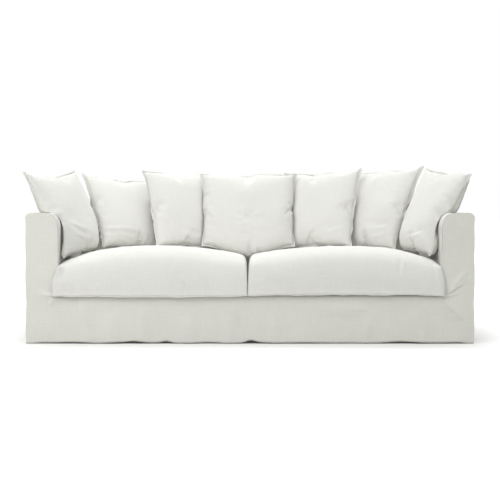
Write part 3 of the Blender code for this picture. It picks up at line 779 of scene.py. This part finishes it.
def seatCushion(hand):
    reach = armFaceX - 0.0012
    left, right = (-reach, seats["splitX"] - 0.001) if hand == "left" else (seats["splitX"] + 0.001, reach)
    back, foot = backFaceY - 0.0012, deckZ + 0.0006
    ring, cellsX, cellsY = seatPlan(hand, left, right, back)
    walls = seatWall(ring, left, right, foot)
    rings, count = len(walls), len(ring)
    inner, index = seatTop(walls[-1], cellsX, cellsY, left, right, foot, (rings - 1) * count)
    flat = np.concatenate([*walls, inner])
    faces = gridFaces(np.arange(rings * count).reshape(rings, count), closed=True) + gridFaces(index)
    faces.append(list(range(count))[::-1])

    uv = np.column_stack([flat[:, 0] + 30, flat[:, 1] + flat[:, 2]])
    mesh = makeMesh(f"seatCushion_{hand}", flat, faces, uv)
    normals = normalsOf(mesh)
    x, y, z = flat.T
    wallShare = smoothStep((frontY + 0.10 - y) / 0.10)
    out = seats["creaseDepth"] * creaseHeight(seats["creases"], x, z) * wallShare
    low = np.exp(-np.maximum(0, z - foot) / 0.022) * smoothStep((frontY + 0.02 - y) / 0.02)
    gather, perMetre = seats["gathers"]
    out += gather * rumple(flat * [1, 1, 0.15], perMetre, 21) * low
    (broad, broadPerMetre), (fine, finePerMetre) = seats["unevenness"]
    out += broad * rumple(flat, broadPerMetre, 22, 3) * smoothStep((z - foot - 0.02) / 0.08)
    out += fine * rumple(flat * [1, 0.5, 0.5], finePerMetre, 23, 2) * smoothStep((z - foot - 0.02) / 0.06)
    moved = flat + normals * out[:, None]
    moved[:count, 2] = foot
    rise = seats["frontLift"][hand] * (0.8 + 0.5 * rumple(flat * [1, 0, 0], 6.0, 24))
    rise *= smoothStep((frontY + 0.07 - y) / 0.06) * edgeFade(x, left - 0.01, right + 0.01, 0.12)
    moved[:, 2] += rise * np.exp(-np.maximum(0, z - foot) / 0.06)
    moved = swollenCorners(moved, z, ring, rings, left, right, foot)
    moved[:, 1] = np.minimum(moved[:, 1], back)
    setPoints(mesh, moved)
    piece = addPiece(f"seatCushion_{hand}", mesh, cushionLinen, [f"seat_cushion_{hand}"])
    return moved, faces, moved[:count]


# A flat stitched rim: a thin strip that stands off a seam
def seamRim(name, seam, outward, widths, thickness, wave, seed, closed=True, calm=None):
    count = len(seam)
    calm = seam if calm is None else calm
    if closed:
        tangent = np.roll(seam, -1, 0) - np.roll(seam, 1, 0)
    else:
        tangent = np.gradient(seam, axis=0)
    tangent /= np.linalg.norm(tangent, axis=1)[:, None]
    outward = outward - tangent * (outward * tangent).sum(1)[:, None]
    outward /= np.linalg.norm(outward, axis=1)[:, None]
    thick = np.cross(tangent, outward)
    sway = wave * rumple(seam, 22.0, seed, 2)
    # Section of the rim: share of its width out from the seam, share of its thickness aside
    outerHalf = ((-0.25, 0.50), (0.30, 0.50), (0.85, 0.42))
    profile = (*outerHalf, (1.0, 0.0), *((share, -aside) for share, aside in reversed(outerHalf)))
    points, uvs = [], []
    along = np.concatenate([[0], np.cumsum(np.linalg.norm(np.diff(seam, axis=0), axis=1))])
    for share, aside in profile:
        bent = sway * max(0.0, share) ** 1.5
        line = seam + (calm - seam) * max(0.0, share)
        beside = thick * (aside * thickness + bent)[:, None]
        points.append(line + outward * (widths * share)[:, None] + beside)
        uvs.append(np.stack([along + 40, widths * share + aside * 0.01], 1))
    index = np.arange(len(profile) * count).reshape(len(profile), count)
    faces = gridFaces(np.concatenate([index, index[:1]]), closed)
    if not closed:
        faces += [index[:, 0].tolist(), index[::-1, -1].tolist()]
    mesh = makeMesh(name, np.concatenate(points), faces, np.concatenate(uvs))
    return addPiece(name, mesh, cushionLinen)


seatSkins = []
for hand in ("left", "right"):
    skin, faces, bottom = seatCushion(hand)
    seatSkins.append(BVHTree.FromPolygons([tuple(p) for p in skin], faces))
    inFront = bottom[:, 1] < frontY - 0.004
    run = np.flatnonzero(inFront)
    # The seam starts after the widest break in that run of points
    breaks = np.diff(np.append(run, run[0] + len(bottom)))
    order = np.argsort((run - run[np.argmax(breaks)] - 1) % len(bottom))
    seam = bottom[run[order]]
    seam = seam + [0, 0, 0.002]
    outward = np.gradient(seam, axis=0)
    outward = np.stack([outward[:, 1], -outward[:, 0], -0.25 * np.abs(outward[:, 0])], 1)
    widths = seats["rim"][0] + seats["rim"][1] * rumple(seam, 18.0, 51, 2)
    seamRim(f"seatRim_{hand}", seam, outward, widths, seats["rimThickness"], 0.003, 52, closed=False)
print("seat cushions ready")


pillows = {
    "flange": 0.014,
    "rim": 0.0105,
    "rimThickness": 0.0026,
    "rimSway": 0.004,
    "rimVaries": (0.92, 0.25, 14.0),  # usual share of the width, how much it varies, number a metre
    "rimTips": 0.5,  # wider by this share at the corners
    "rimPressed": 0.9,  # flatter by this share where the pillow is pressed
    "cells": 56,
    "cloth": 1.06,  # the covers are cut this much larger than they end up when filled
    "plumpness": 0.75,  # under 1 keeps it full to near its seams
    "sideDraw": 0.050,  # how far the middle of each seam is drawn in
    "footDraw": 0.050,
    "footFullness": 0.16,
    "seamWander": 0.5,  # share kept of the uneven line that filling gives the seams
    "puckerPitch": 0.040,
    "puckerReach": 0.032,
    "puckerHeight": 0.0032,
    "puckerDraw": 0.0025,
    "puckerFade": 0.012,
    # how far each pillow dives behind the edge of the one before it
    "neighbourGaps": {1: 0.080, 2: 0.022, 3: 0.014, 5: 0.014, 6: 0.022, 7: 0.080},
    "slots": {1: 0.0, 2: 0.033, 3: 0.010, 4: 0.004, 5: 0.008, 6: 0.035, 7: 0.0},  # dark gap beside each
    "slotOpens": (0.78, 0.16, 0.12),  # from this height down, over this length, share above it
    # how far each pillow stays clear: of the frame, in front of its seam, behind it, of the seats
    "restGap": 0.0025,
    "frontGap": 0.012,
    "backGap": 0.020,
    "seatGap": 0.003,
    "mostPress": 0.25,  # what would have to move further is left where it is
    "tuck": 0.055,  # how far the seam slips back behind the body where an arm presses it
    "tuckReach": 0.05,
    "coreDepth": 0.120,
    "coreBelowTop": 0.160,
    "frames": 30,
    "ease": 2,  # smoothings of the blown-up cover
    # foot x, y, z, width, height, depth, yaw, lean, roll, skew, taper, dip, sag
    "rows": (
        (-0.896, -0.235, 0.452, 0.471, 0.476, 0.150, 65.5, 24.2, 4.1, 0.006, 0.107, 0.125, 0.000),
        (-0.659, 0.023, 0.466, 0.461, 0.452, 0.150, 42.0, 27.4, -3.7, 0.050, 0.150, 0.110, 0.000),
        (-0.354, 0.071, 0.469, 0.444, 0.463, 0.150, 25.0, 23.3, -2.6, -0.026, 0.135, 0.050, 0.000),
        (-0.009, 0.065, 0.480, 0.550, 0.430, 0.170, 0.0, 19.5, 0.0, 0.000, 0.050, 0.025, 0.085),
        (0.382, 0.080, 0.469, 0.459, 0.467, 0.150, -20.0, 21.7, 2.4, -0.003, 0.128, 0.080, 0.000),
        (0.681, 0.047, 0.457, 0.458, 0.484, 0.150, -44.0, 22.3, 2.2, 0.034, 0.211, 0.050, 0.000),
        (0.890, -0.218, 0.455, 0.464, 0.487, 0.150, -67.2, 24.2, -4.2, -0.011, 0.191, 0.100, 0.000),
    ),
}


def coverGrid(width, height, seed):
    n = pillows["cells"]
    i, j = np.meshgrid(np.arange(n + 1), np.arange(n + 1), indexing="ij")
    border = (i == 0) | (i == n) | (j == 0) | (j == n)
    flat = np.stack([width * (i / n - 0.5), height * (j / n - 0.5)], -1)
    full = (1 - (2 * i / n - 1) ** 2) * (1 - (2 * j / n - 1) ** 2)
    skins, index = [], []
    for side in (1, -1):
        spot = np.stack([flat[..., 0], flat[..., 1], 0 * full + side * 2], -1)
        out = side * (0.002 + 0.045 * full**0.6) + 0.004 * rumple(spot, 9.0, seed)
        out[border] = 0.0
        skins.append(np.stack([flat[..., 0], -out, flat[..., 1]], -1))
    index.append(np.arange((n + 1) ** 2).reshape(n + 1, n + 1))
    rest = index[0].copy()
    rest[~border] = (n + 1) ** 2 + np.arange((~border).sum())
    index.append(rest)
    points = np.concatenate([skins[0].reshape(-1, 3), skins[1][~border]])
    uvs = np.concatenate([flat.reshape(-1, 2), flat[~border] + [0.7, 0.0]])
    faces = []
    for side in (0, 1):
        at = index[side]
        for a in range(n):
            for b in range(n):
                quad = (at[a, b], at[a + 1, b], at[a + 1, b + 1], at[a, b + 1])
                faces.append(tuple(int(v) for v in (quad if side == 0 else quad[::-1])))
    loop = np.concatenate([index[0][:-1, 0], index[0][-1, :-1], index[0][:0:-1, -1], index[0][0, :0:-1]])
    inFront = np.concatenate([np.ones((n + 1) ** 2, bool), np.zeros((~border).sum(), bool)])
    even = np.stack([2 * i / n - 1, 2 * j / n - 1], -1)
    even = np.concatenate([even.reshape(-1, 2), even[~border]])
    return points, faces, uvs, loop, inFront, even


filling = {
    "quality": 6,
    "mass": 0.25,
    "tension_stiffness": 15,
    "compression_stiffness": 15,
    "shear_stiffness": 6,
    "bending_stiffness": 0.15,
    "use_pressure": True,
    "uniform_pressure_force": 6.0,
    "air_damping": 1.5,
    "tension_damping": 6,
    "compression_damping": 6,
    "shear_damping": 6,
    "shrink_min": -0.02,  # the cloth gives this much
}


# Blows up each sewn cover with Blender's cloth, in its own frame
def filledCovers(grids):
    scene = bpy.context.scene
    covers = []
    for k, (points, faces, uvs, *_) in enumerate(grids):
        mesh = makeMesh(f"fill_{k}", points, faces, uvs)
        thing = bpy.data.objects.new(f"fill_{k}", mesh)
        scene.collection.objects.link(thing)
        cloth = thing.modifiers.new("fill", "CLOTH")
        for setting, value in filling.items():
            setattr(cloth.settings, setting, value)
        cloth.settings.effector_weights.gravity = 0.0
        cloth.collision_settings.use_collision = False
        cloth.collision_settings.use_self_collision = False
        covers.append(thing)
    for number in range(1, pillows["frames"] + 1):
        scene.frame_set(number)
    graph = bpy.context.evaluated_depsgraph_get()
    filled = []
    for thing in covers:
        mesh = bpy.data.meshes.new_from_object(thing.evaluated_get(graph))
        filled.append(pointsOf(mesh))
        bpy.data.meshes.remove(mesh)
    for thing in covers:
        mesh = thing.data
        bpy.data.objects.remove(thing)
        bpy.data.meshes.remove(mesh)
    scene.frame_set(1)
    return filled


def clearOfRail(beyond, z, margin):
    def isInside(at, up):
        return at > -margin and up < railProfile(at + margin) + margin

    if not isInside(beyond, z):
        return beyond, z
    core = cover["height"] - pillows["coreBelowTop"]
    run, rise = beyond - pillows["coreDepth"], z - core
    if rise <= 0:
        return -margin, z
    if run >= 0:
        return beyond, cover["height"] + margin
    near, far = 1.0, 2.0
    while isInside(pillows["coreDepth"] + run * far, core + rise * far):
        far *= 2
    for _ in range(18):
        halfWay = (near + far) / 2
        if isInside(pillows["coreDepth"] + run * halfWay, core + rise * halfWay):
            near = halfWay
        else:
            far = halfWay
    return pillows["coreDepth"] + run * far, core + rise * far


def clearOfFrame(points, margins):
    moved = points.copy()
    near = (np.abs(points[:, 0]) > armFaceX - 0.05) | (points[:, 1] > backFaceY - 0.05)
    for k in np.flatnonzero(near & (points[:, 2] < cover["height"] + 0.05)):
        x, y, z = moved[k]
        beyond, z = clearOfRail(abs(x) - armFaceX, z, margins[k])
        x = math.copysign(beyond + armFaceX, x)
        beyond, z = clearOfRail(y - backFaceY, z, margins[k])
        moved[k] = x, beyond + backFaceY, z
    return moved


def clearOfSeats(points, gap):
    moved = points.copy()
    above = deckZ + seats["crownRise"] + 0.06
    for k in np.flatnonzero(points[:, 2] < above):
        x, y, z = moved[k]
        for skin in seatSkins:
            hit = skin.ray_cast(Vector((x, y, 1.0)), Vector((0, 0, -1)))[0]
            if hit is not None and z < hit.z + gap:
                z = hit.z + gap
        moved[k, 2] = z
    return moved


# Pushes points behind a neighbour that lies on them, found by a ray from a metre behind each
def clearOfNeighbour(points, skin, back, gaps):
    moved = points.copy()
    away = Vector(back)
    for k, point in enumerate(points):
        hit = skin.ray_cast(Vector(point) + away, -1.0 * away, 2.0)[0]
        if hit is None:
            continue
        short = (hit - Vector(point)).dot(away) + gaps[k]
        if 0 < short < pillows["mostPress"]:
            moved[k] = point + np.array(back) * short
    return moved


def smoothed(values, edges, times):
    count = np.bincount(edges.ravel(), minlength=len(values)).astype(float)[:, None]
    for _ in range(times):
        total = np.zeros_like(values)
        np.add.at(total, edges[:, 0], values[edges[:, 1]])
        np.add.at(total, edges[:, 1], values[edges[:, 0]])
        values = 0.5 * values + 0.5 * total / count
    return values


def meshEdges(faces):
    quads = np.array(faces)
    edges = np.concatenate([quads[:, [k, (k + 1) % 4]] for k in range(4)])
    return np.unique(np.sort(edges, axis=1), axis=0)


grids = [
    coverGrid(row[3] * pillows["cloth"], row[4] * pillows["cloth"], seed)
    for seed, row in enumerate(pillows["rows"], 1)
]
fills = [
    smoothed(fill, meshEdges(grid[1]), pillows["ease"])
    for grid, fill in zip(grids, filledCovers(grids))
]
print("pillow covers filled")


def placement(row):
    x, y, z, yaw, lean, roll = *row[:3], *row[6:9]
    turn = Euler((math.radians(-lean), math.radians(-roll), math.radians(yaw)), "YXZ").to_matrix()
    return np.array(turn), np.array((x, y, z))


# Soft dents and folds that show on the front of each pillow: s, t, width s, width t, depth
dents = {
    4: ((0.0, -0.10, 0.06, 0.08, 0.012), (0.0, -0.52, 0.6, 0.10, 0.005)),
    2: ((0.05, 0.92, 0.35, 0.12, 0.006),),
    3: ((-0.72, -0.05, 0.10, 0.25, 0.004),),
    5: ((-0.25, 0.95, 0.35, 0.12, 0.006), (0.35, -0.55, 0.35, 0.08, 0.004)),
    6: ((0.30, -0.45, 0.35, 0.10, 0.005),),
    1: ((-0.45, -0.20, 0.30, 0.18, 0.006),),
    7: ((0.35, -0.55, 0.30, 0.10, 0.005),),
}


# The dent in the middle pillow has creases that run out from it: angle, length of each
star = {
    "hub": 0.014,
    "below": 0.022,
    "width": 0.0085,
    "height": 0.0040,
    "rays": ((0.2, 0.090), (1.1, 0.060), (2.2, 0.070), (3.3, 0.100), (4.1, 0.065), (5.3, 0.080)),
}
# Creases on the pillows: from across, up to across, up, width, height, from the pillow's middle
pillowCreases = {
    2: ((-0.200, -0.128, 0.120, -0.166, 0.013, 0.0055), (-0.150, -0.168, 0.030, -0.184, 0.010, 0.0030)),
    3: ((0.060, -0.060, 0.085, -0.020, 0.009, 0.0026), (0.150, -0.190, -0.100, -0.180, 0.014, 0.0040)),
    4: tuple(
        (
            star["hub"] * math.cos(angle),
            star["hub"] * math.sin(angle) - star["below"],
            length * math.cos(angle),
            length * math.sin(angle) - star["below"],
            star["width"],
            star["height"],
        )
        for angle, length in star["rays"]
    ),
    5: ((0.175, -0.130, 0.090, -0.165, 0.010, 0.0032), (0.180, -0.175, 0.110, -0.200, 0.010, 0.0030)),
    6: ((0.160, -0.120, 0.070, -0.150, 0.010, 0.0036), (0.150, -0.165, 0.050, -0.200, 0.011, 0.0036)),
    7: ((0.120, -0.150, 0.000, -0.190, 0.011, 0.0038), (0.040, -0.170, -0.060, -0.205, 0.010, 0.0030)),
    1: ((-0.140, -0.080, 0.020, -0.140, 0.014, 0.0036), (-0.120, -0.150, 0.040, -0.190, 0.012, 0.0032)),
}
# Corners that stand up: side, rise, reach outward
ears = {
    1: (-1, 0.020, 0.004),
    2: (-1, 0.013, 0.004),
    5: (1, 0.012, 0.002),
    6: (1, 0.024, 0.004),
    7: (1, -0.012, -0.020),
}


# Small wrinkles that run in from a seam where its thread draws the cloth up
def puckers(along, away, seed):
    line = np.stack([along, 0 * along, 0 * along + seed], -1)
    wave = np.sin(math.tau * along / pillows["puckerPitch"] + 3.0 * rumple(line, 7.0, seed))
    strength = np.clip(0.75 + 1.1 * rumple(line, 11.0, seed + 5), 0.1, 1.6)
    return wave * strength * np.exp(-away / (pillows["puckerReach"] * (0.7 + 0.5 * strength)))


# The puckers of two opposite seams, each with its own seed
def seamPair(along, away, onSecond, seed):
    wave = np.zeros(len(along))
    for own in (0, 1):
        at = onSecond == own
        wave[at] = puckers(along[at], away[at], seed + own)
    return wave


# The filling pulls the sides in. The cover is let out again to the outline wanted, puckers kept
def straightened(s, t, evenS, evenT, dip):
    n = pillows["cells"]
    middle = np.linspace(-1, 1, n + 1)
    frontS, frontT = (way[: (n + 1) ** 2].reshape(n + 1, n + 1) for way in (s, t))
    side = 1 - pillows["sideDraw"] * (1 - np.abs(evenT) ** 3)
    high = 1 - dip * (1 - evenS**2)
    low = 1 - pillows["footDraw"] * (1 - evenS**2)
    borders = ((frontS[0], evenT), (frontS[-1], evenT), (frontT[:, 0], evenS), (frontT[:, -1], evenS))
    seams = []
    for border, at in borders:
        drawn = 1 - pillows["seamWander"] * (1 - np.abs(at) ** 10)
        even = np.polyval(np.polyfit(middle, border, 4), at)
        seams.append((1 - drawn) * even + drawn * np.interp(at, middle, border))
    newS = s + (-side - seams[0]) * (1 - evenS) / 2 + (side - seams[1]) * (1 + evenS) / 2
    newT = t + (-low - seams[2]) * (1 - evenT) / 2 + (high - seams[3]) * (1 + evenT) / 2
    return newS, newT


def shapedPillow(number, row, grid, fill):
    width, height, depth = row[3:6]
    skew, taper, dip, sag = row[9:13]
    _, faces, uvs, loop, inFront, even = grid
    evenS, evenT = even[:, 0], even[:, 1]
    size = np.ptp(fill, axis=0)
    s = fill[:, 0] / size[0] * 2
    t = fill[:, 2] / size[2] * 2
    s, t = straightened(s, t, evenS, evenT, dip)
    plump = np.abs(fill[:, 1]) / (size[1] / 2)
    out = -np.sign(fill[:, 1]) * depth / 2 * plump ** pillows["plumpness"]
    out = out * (1 - pillows["footFullness"] * t)
    for atS, atT, wideS, wideT, deep in dents.get(number, ()):
        shape = np.exp(-(((s - atS) / wideS) ** 2) - ((t - atT) / wideT) ** 2)
        out -= np.where(inFront, deep * shape * np.clip(np.abs(out) / 0.03, 0, 1), 0)
    crease = creaseHeight(pillowCreases[number], s * width / 2, t * height / 2)
    out += np.where(inFront, crease * np.clip(np.abs(out) / 0.03, 0, 1), 0)

    # Puckers along the four seams: the seam itself sways, and it is drawn in between them
    fromSide, fromEnd = (1 - np.abs(evenS)) * width / 2, (1 - np.abs(evenT)) * height / 2
    sideWave = seamPair(evenT * height / 2, fromSide, evenS > 0, 80 + 2 * number)
    endWave = 0.7 * seamPair(evenS * width / 2, fromEnd, evenT > 0, 100 + 2 * number)
    sideWave *= smoothStep(fromEnd / 0.04)
    endWave *= smoothStep(fromSide / 0.04)
    out += pillows["puckerHeight"] * (sideWave + endWave)
    draw, fade = pillows["puckerDraw"], pillows["puckerFade"]
    s = s - np.sign(evenS) * draw * (0.5 + 0.5 * sideWave) * np.exp(-fromSide / fade) / (width / 2)
    t = t - np.sign(evenT) * draw * (0.5 + 0.5 * endWave) * np.exp(-fromEnd / fade) / (height / 2)

    across = s * width / 2 * (1 - taper * (1 - t) / 2) + skew * t * height / 2
    up = t * height / 2 - sag * np.maximum(0, 1 - s * s) ** 2 * (1 - t) / 2
    if number in ears:
        side, rise, reach = ears[number]
        corner = np.clip(side * s, 0, 1.1) ** 7 * np.clip(t, 0, 1.1) ** 7
        up, across = up + rise * corner, across + side * reach * corner
    local = np.stack([across, -out, up + height / 2 + pillows["flange"]], 1)
    turn, foot = placement(row)
    return local @ turn.T + foot, faces, uvs, loop, inFront, np.abs(out)


finished = {}


# The cover pushed clear of the frame, the seats and the pillow before it, and where it is pressed
def pressedCover(number, inner, shape, edges, inFront, half, belowRoll):
    thick = 2 * half
    margins = pillows["restGap"] + np.where(inFront, np.minimum(thick, pillows["frontGap"]), 0) * belowRoll
    shift = np.zeros_like(shape)
    rounds = 4
    for turn in range(rounds):
        here = shape + shift
        here = clearOfFrame(here, margins)
        here = clearOfSeats(here, pillows["seatGap"])
        if inner:
            skin, back = finished[inner]
            behind = np.where(inFront, 0, np.minimum(thick, pillows["backGap"]))
            here = clearOfNeighbour(here, skin, back, pillows["neighbourGaps"][number] + behind)
        shift = here - shape
        if turn < rounds - 1:
            shift = smoothed(shift, edges, 3)
    return shape + shift, smoothStep((np.linalg.norm(shift, axis=1) - 0.004) / 0.02)


# For each point of the seam, the way out from the cloth next to it
def seamOutward(points, loop, edges):
    onLoop = np.zeros(len(points), bool)
    onLoop[loop] = True
    inward = np.zeros_like(points)
    count = np.zeros(len(points))
    for a, b in ((0, 1), (1, 0)):
        keep = onLoop[edges[:, a]] & ~onLoop[edges[:, b]]
        np.add.at(inward, edges[keep, a], points[edges[keep, b]])
        np.add.at(count, edges[keep, a], 1)
    corner = count == 0
    count[corner] = 1
    outward = points[loop] - inward[loop] / count[loop][:, None]
    for k in np.flatnonzero(corner[loop]):
        outward[k] = 2 * points[loop[k]] - points[loop[k - 1]] - points[loop[(k + 1) % len(loop)]]
    outward /= np.linalg.norm(outward, axis=1)[:, None]
    for _ in range(8):
        outward = 0.5 * outward + 0.25 * (np.roll(outward, 1, 0) + np.roll(outward, -1, 0))
    return outward


def makePillow(number, inner):
    row, grid = pillows["rows"][number - 1], grids[number - 1]
    shape, faces, uvs, loop, inFront, half = shapedPillow(number, row, grid, fills[number - 1])
    edges = meshEdges(faces)
    belowRoll = smoothStep((cover["height"] - 0.02 - shape[:, 2]) / 0.08)
    points, pressed = pressedCover(number, inner, shape, edges, inFront, half, belowRoll)
    if number in (1, 7):
        outer = np.sign(row[0]) * grid[5][:, 0]
        byArm = pressed * belowRoll * np.exp(-(((1 - outer) * row[3] / 2 / pillows["tuckReach"]) ** 2))
        points[:, 1] += pillows["tuck"] * smoothed(byArm[:, None], edges, 4)[:, 0]
        points = clearOfFrame(points, np.full(len(points), pillows["restGap"] / 2))
    mesh = makeMesh(f"pillowCover_{number}", points, faces, uvs + [number * 1.7, number * 0.9])
    piece = addPiece(f"pillowCover_{number}", mesh, cushionLinen, [f"pillow_{number}"])
    fuller = piece.modifiers.new("rounder", "SUBSURF")
    fuller.levels = fuller.render_levels = 1

    # The stitched rim, a little wider at the corners
    seam, outward = points[loop], seamOutward(points, loop, edges)
    corners = np.zeros(len(loop))
    corners[:: pillows["cells"]] = 1.0
    calm = seam.copy()
    for _ in range(10):
        eased = 0.5 * calm + 0.25 * (np.roll(calm, 1, 0) + np.roll(calm, -1, 0))
        calm = np.where(corners[:, None] > 0, calm, eased)
    usual, varied, perMetre = pillows["rimVaries"]
    widths = pillows["rim"] * (usual + varied * rumple(seam, perMetre, 60 + number, 2))
    widths *= 1 - pillows["rimPressed"] * pressed[loop]
    tips = corners + 0.5 * (np.roll(corners, 1) + np.roll(corners, -1))
    widths *= 1 + pillows["rimTips"] * np.minimum(tips, 1)
    # The ones further out dive behind this one's rim as well
    rimmed = points.copy()
    opens, over, above = pillows["slotOpens"]
    slot = pillows["slots"][number] * (above + (1 - above) * smoothStep((opens - seam[:, 2]) / over))
    rimmed[loop] += outward * (widths + slot)[:, None]
    back = placement(row)[0] @ np.array((0.0, 1.0, 0.0))
    finished[number] = (BVHTree.FromPolygons([tuple(p) for p in rimmed], faces), tuple(back))
    thickness = pillows["rimThickness"]
    sway = pillows["rimSway"]
    seamRim(f"pillowRim_{number}", seam, outward, widths, thickness, sway, 70 + number, calm=calm)


makePillow(4, None)
for number, inner in ((3, 4), (2, 3), (1, 2), (5, 4), (6, 5), (7, 6)):
    makePillow(number, inner)
print("pillows ready")


studio = {
    "cameraPlace": (0.0, -5.985, 0.72),
    "cameraPitch": -2.4,
    "lens": 76.0,
    # two softboxes of one size, aimed at the seat: place and power
    "lights": {"keyLight": ((-2.8, -3.6, 3.0), 88.0), "topLight": ((0.0, 1.6, 4.0), 130.0)},
    "lightSize": (3.2, 2.4),
    # brightness of the room overhead, in front and at the right; black elsewhere
    "room": (("Z", 1, 0.77), ("Y", -1, 1.51), ("X", 1, 0.41)),
    "floor": "#F7F7F6",
    "floorReach": 40.0,
    "floorGlow": (0.03, 0.75),
    "glowFrom": (1.1, 2.4),  # distances from the middle between which it grows
    "floorBounce": "#BCBCB8",  # what it sends back up to the cloth
}


def addCamera(scene):
    camera = bpy.data.objects.new("camera", bpy.data.cameras.new("camera"))
    scene.collection.objects.link(camera)
    camera.location = studio["cameraPlace"]
    camera.rotation_euler = (math.radians(90 + studio["cameraPitch"]), 0, 0)
    camera.data.lens = studio["lens"]
    camera.data.sensor_width = 36
    camera.data.clip_end = 200
    scene.camera = camera


def addLights(scene):
    for name, (place, power) in studio["lights"].items():
        softbox = bpy.data.objects.new(name, bpy.data.lights.new(name, "AREA"))
        scene.collection.objects.link(softbox)
        softbox.data.shape = "RECTANGLE"
        softbox.data.size, softbox.data.size_y = studio["lightSize"]
        softbox.data.energy = power
        softbox.location = place
        aim = Vector((0.0, 0.0, 0.4)) - Vector(place)
        softbox.rotation_euler = aim.to_track_quat("-Z", "Y").to_euler()


# White all round to the eye, but it lights the cloth from the sides that the room does
def addRoom(scene):
    world = bpy.data.worlds.new("studio")
    scene.world = world
    world.use_nodes = True
    tree = world.node_tree
    light = tree.nodes["Background"]
    light.inputs["Color"].default_value = linear("#FFFFFF")
    heading = addNode(tree, "TexCoord", output="Generated")
    parts = addNode(tree, "SeparateXYZ", {0: heading}).node.outputs
    strength = 0.0
    for axis, sign, level in studio["room"]:
        value = parts[axis]
        for operation, operand in (("MULTIPLY", sign), ("MAXIMUM", 0.0), ("POWER", 2.0)):
            value = addNode(tree, "Math", {0: value, 1: operand}, operation=operation)
        strength = addNode(tree, "Math", {0: value, 1: level, 2: strength}, operation="MULTIPLY_ADD")
    tree.links.new(strength, light.inputs["Strength"])
    seen = addNode(tree, "Background", {"Color": linear("#FFFFFF"), "Strength": 1.0})
    mixed = mixForEye(tree, light.outputs[0], seen)
    tree.links.new(mixed, tree.nodes["World Output"].inputs["Surface"])


def addFloor(scene):
    mesh = bpy.data.meshes.new("floor")
    reach = studio["floorReach"]
    corners = [(-reach, -reach, 0), (reach, -reach, 0), (reach, reach, 0), (-reach, reach, 0)]
    mesh.from_pydata(corners, [], [(0, 1, 2, 3)])
    floor = bpy.data.objects.new("floor", mesh)
    scene.collection.objects.link(floor)
    floor.location.z = -0.001
    paint = bpy.data.materials.new("paintedFloor")
    paint.use_nodes = True
    tree = paint.node_tree
    shader = tree.nodes["Principled BSDF"]
    shader.inputs["Base Color"].default_value = linear(studio["floor"])
    shader.inputs["Roughness"].default_value = 0.9
    shader.inputs["Specular IOR Level"].default_value = 0.1
    shader.inputs["Emission Color"].default_value = linear("#FFFFFF")
    # Far from the light the floor would turn grey, so it glows there and fades into the backdrop
    place = addNode(tree, "TexCoord", output="Object")
    far = addNode(tree, "VectorMath", {0: place}, "Value", operation="LENGTH")
    (near, away), (least, most) = studio["glowFrom"], studio["floorGlow"]
    growth = {"Value": far, "From Min": near, "From Max": away, "To Min": least, "To Max": most}
    tree.links.new(addNode(tree, "MapRange", growth), shader.inputs["Emission Strength"])
    dull = addNode(tree, "BsdfDiffuse", {"Color": linear(studio["floorBounce"])})
    mixed = mixForEye(tree, dull, shader.outputs[0])
    tree.links.new(mixed, tree.nodes["Material Output"].inputs["Surface"])
    mesh.materials.append(paint)


stageScene = bpy.context.scene
for add in (addCamera, addLights, addRoom, addFloor):
    add(stageScene)
stageScene.view_settings.view_transform = "Standard"
stageScene.view_settings.look = "None"
stageScene.view_settings.exposure = 0.0
print("studio ready")
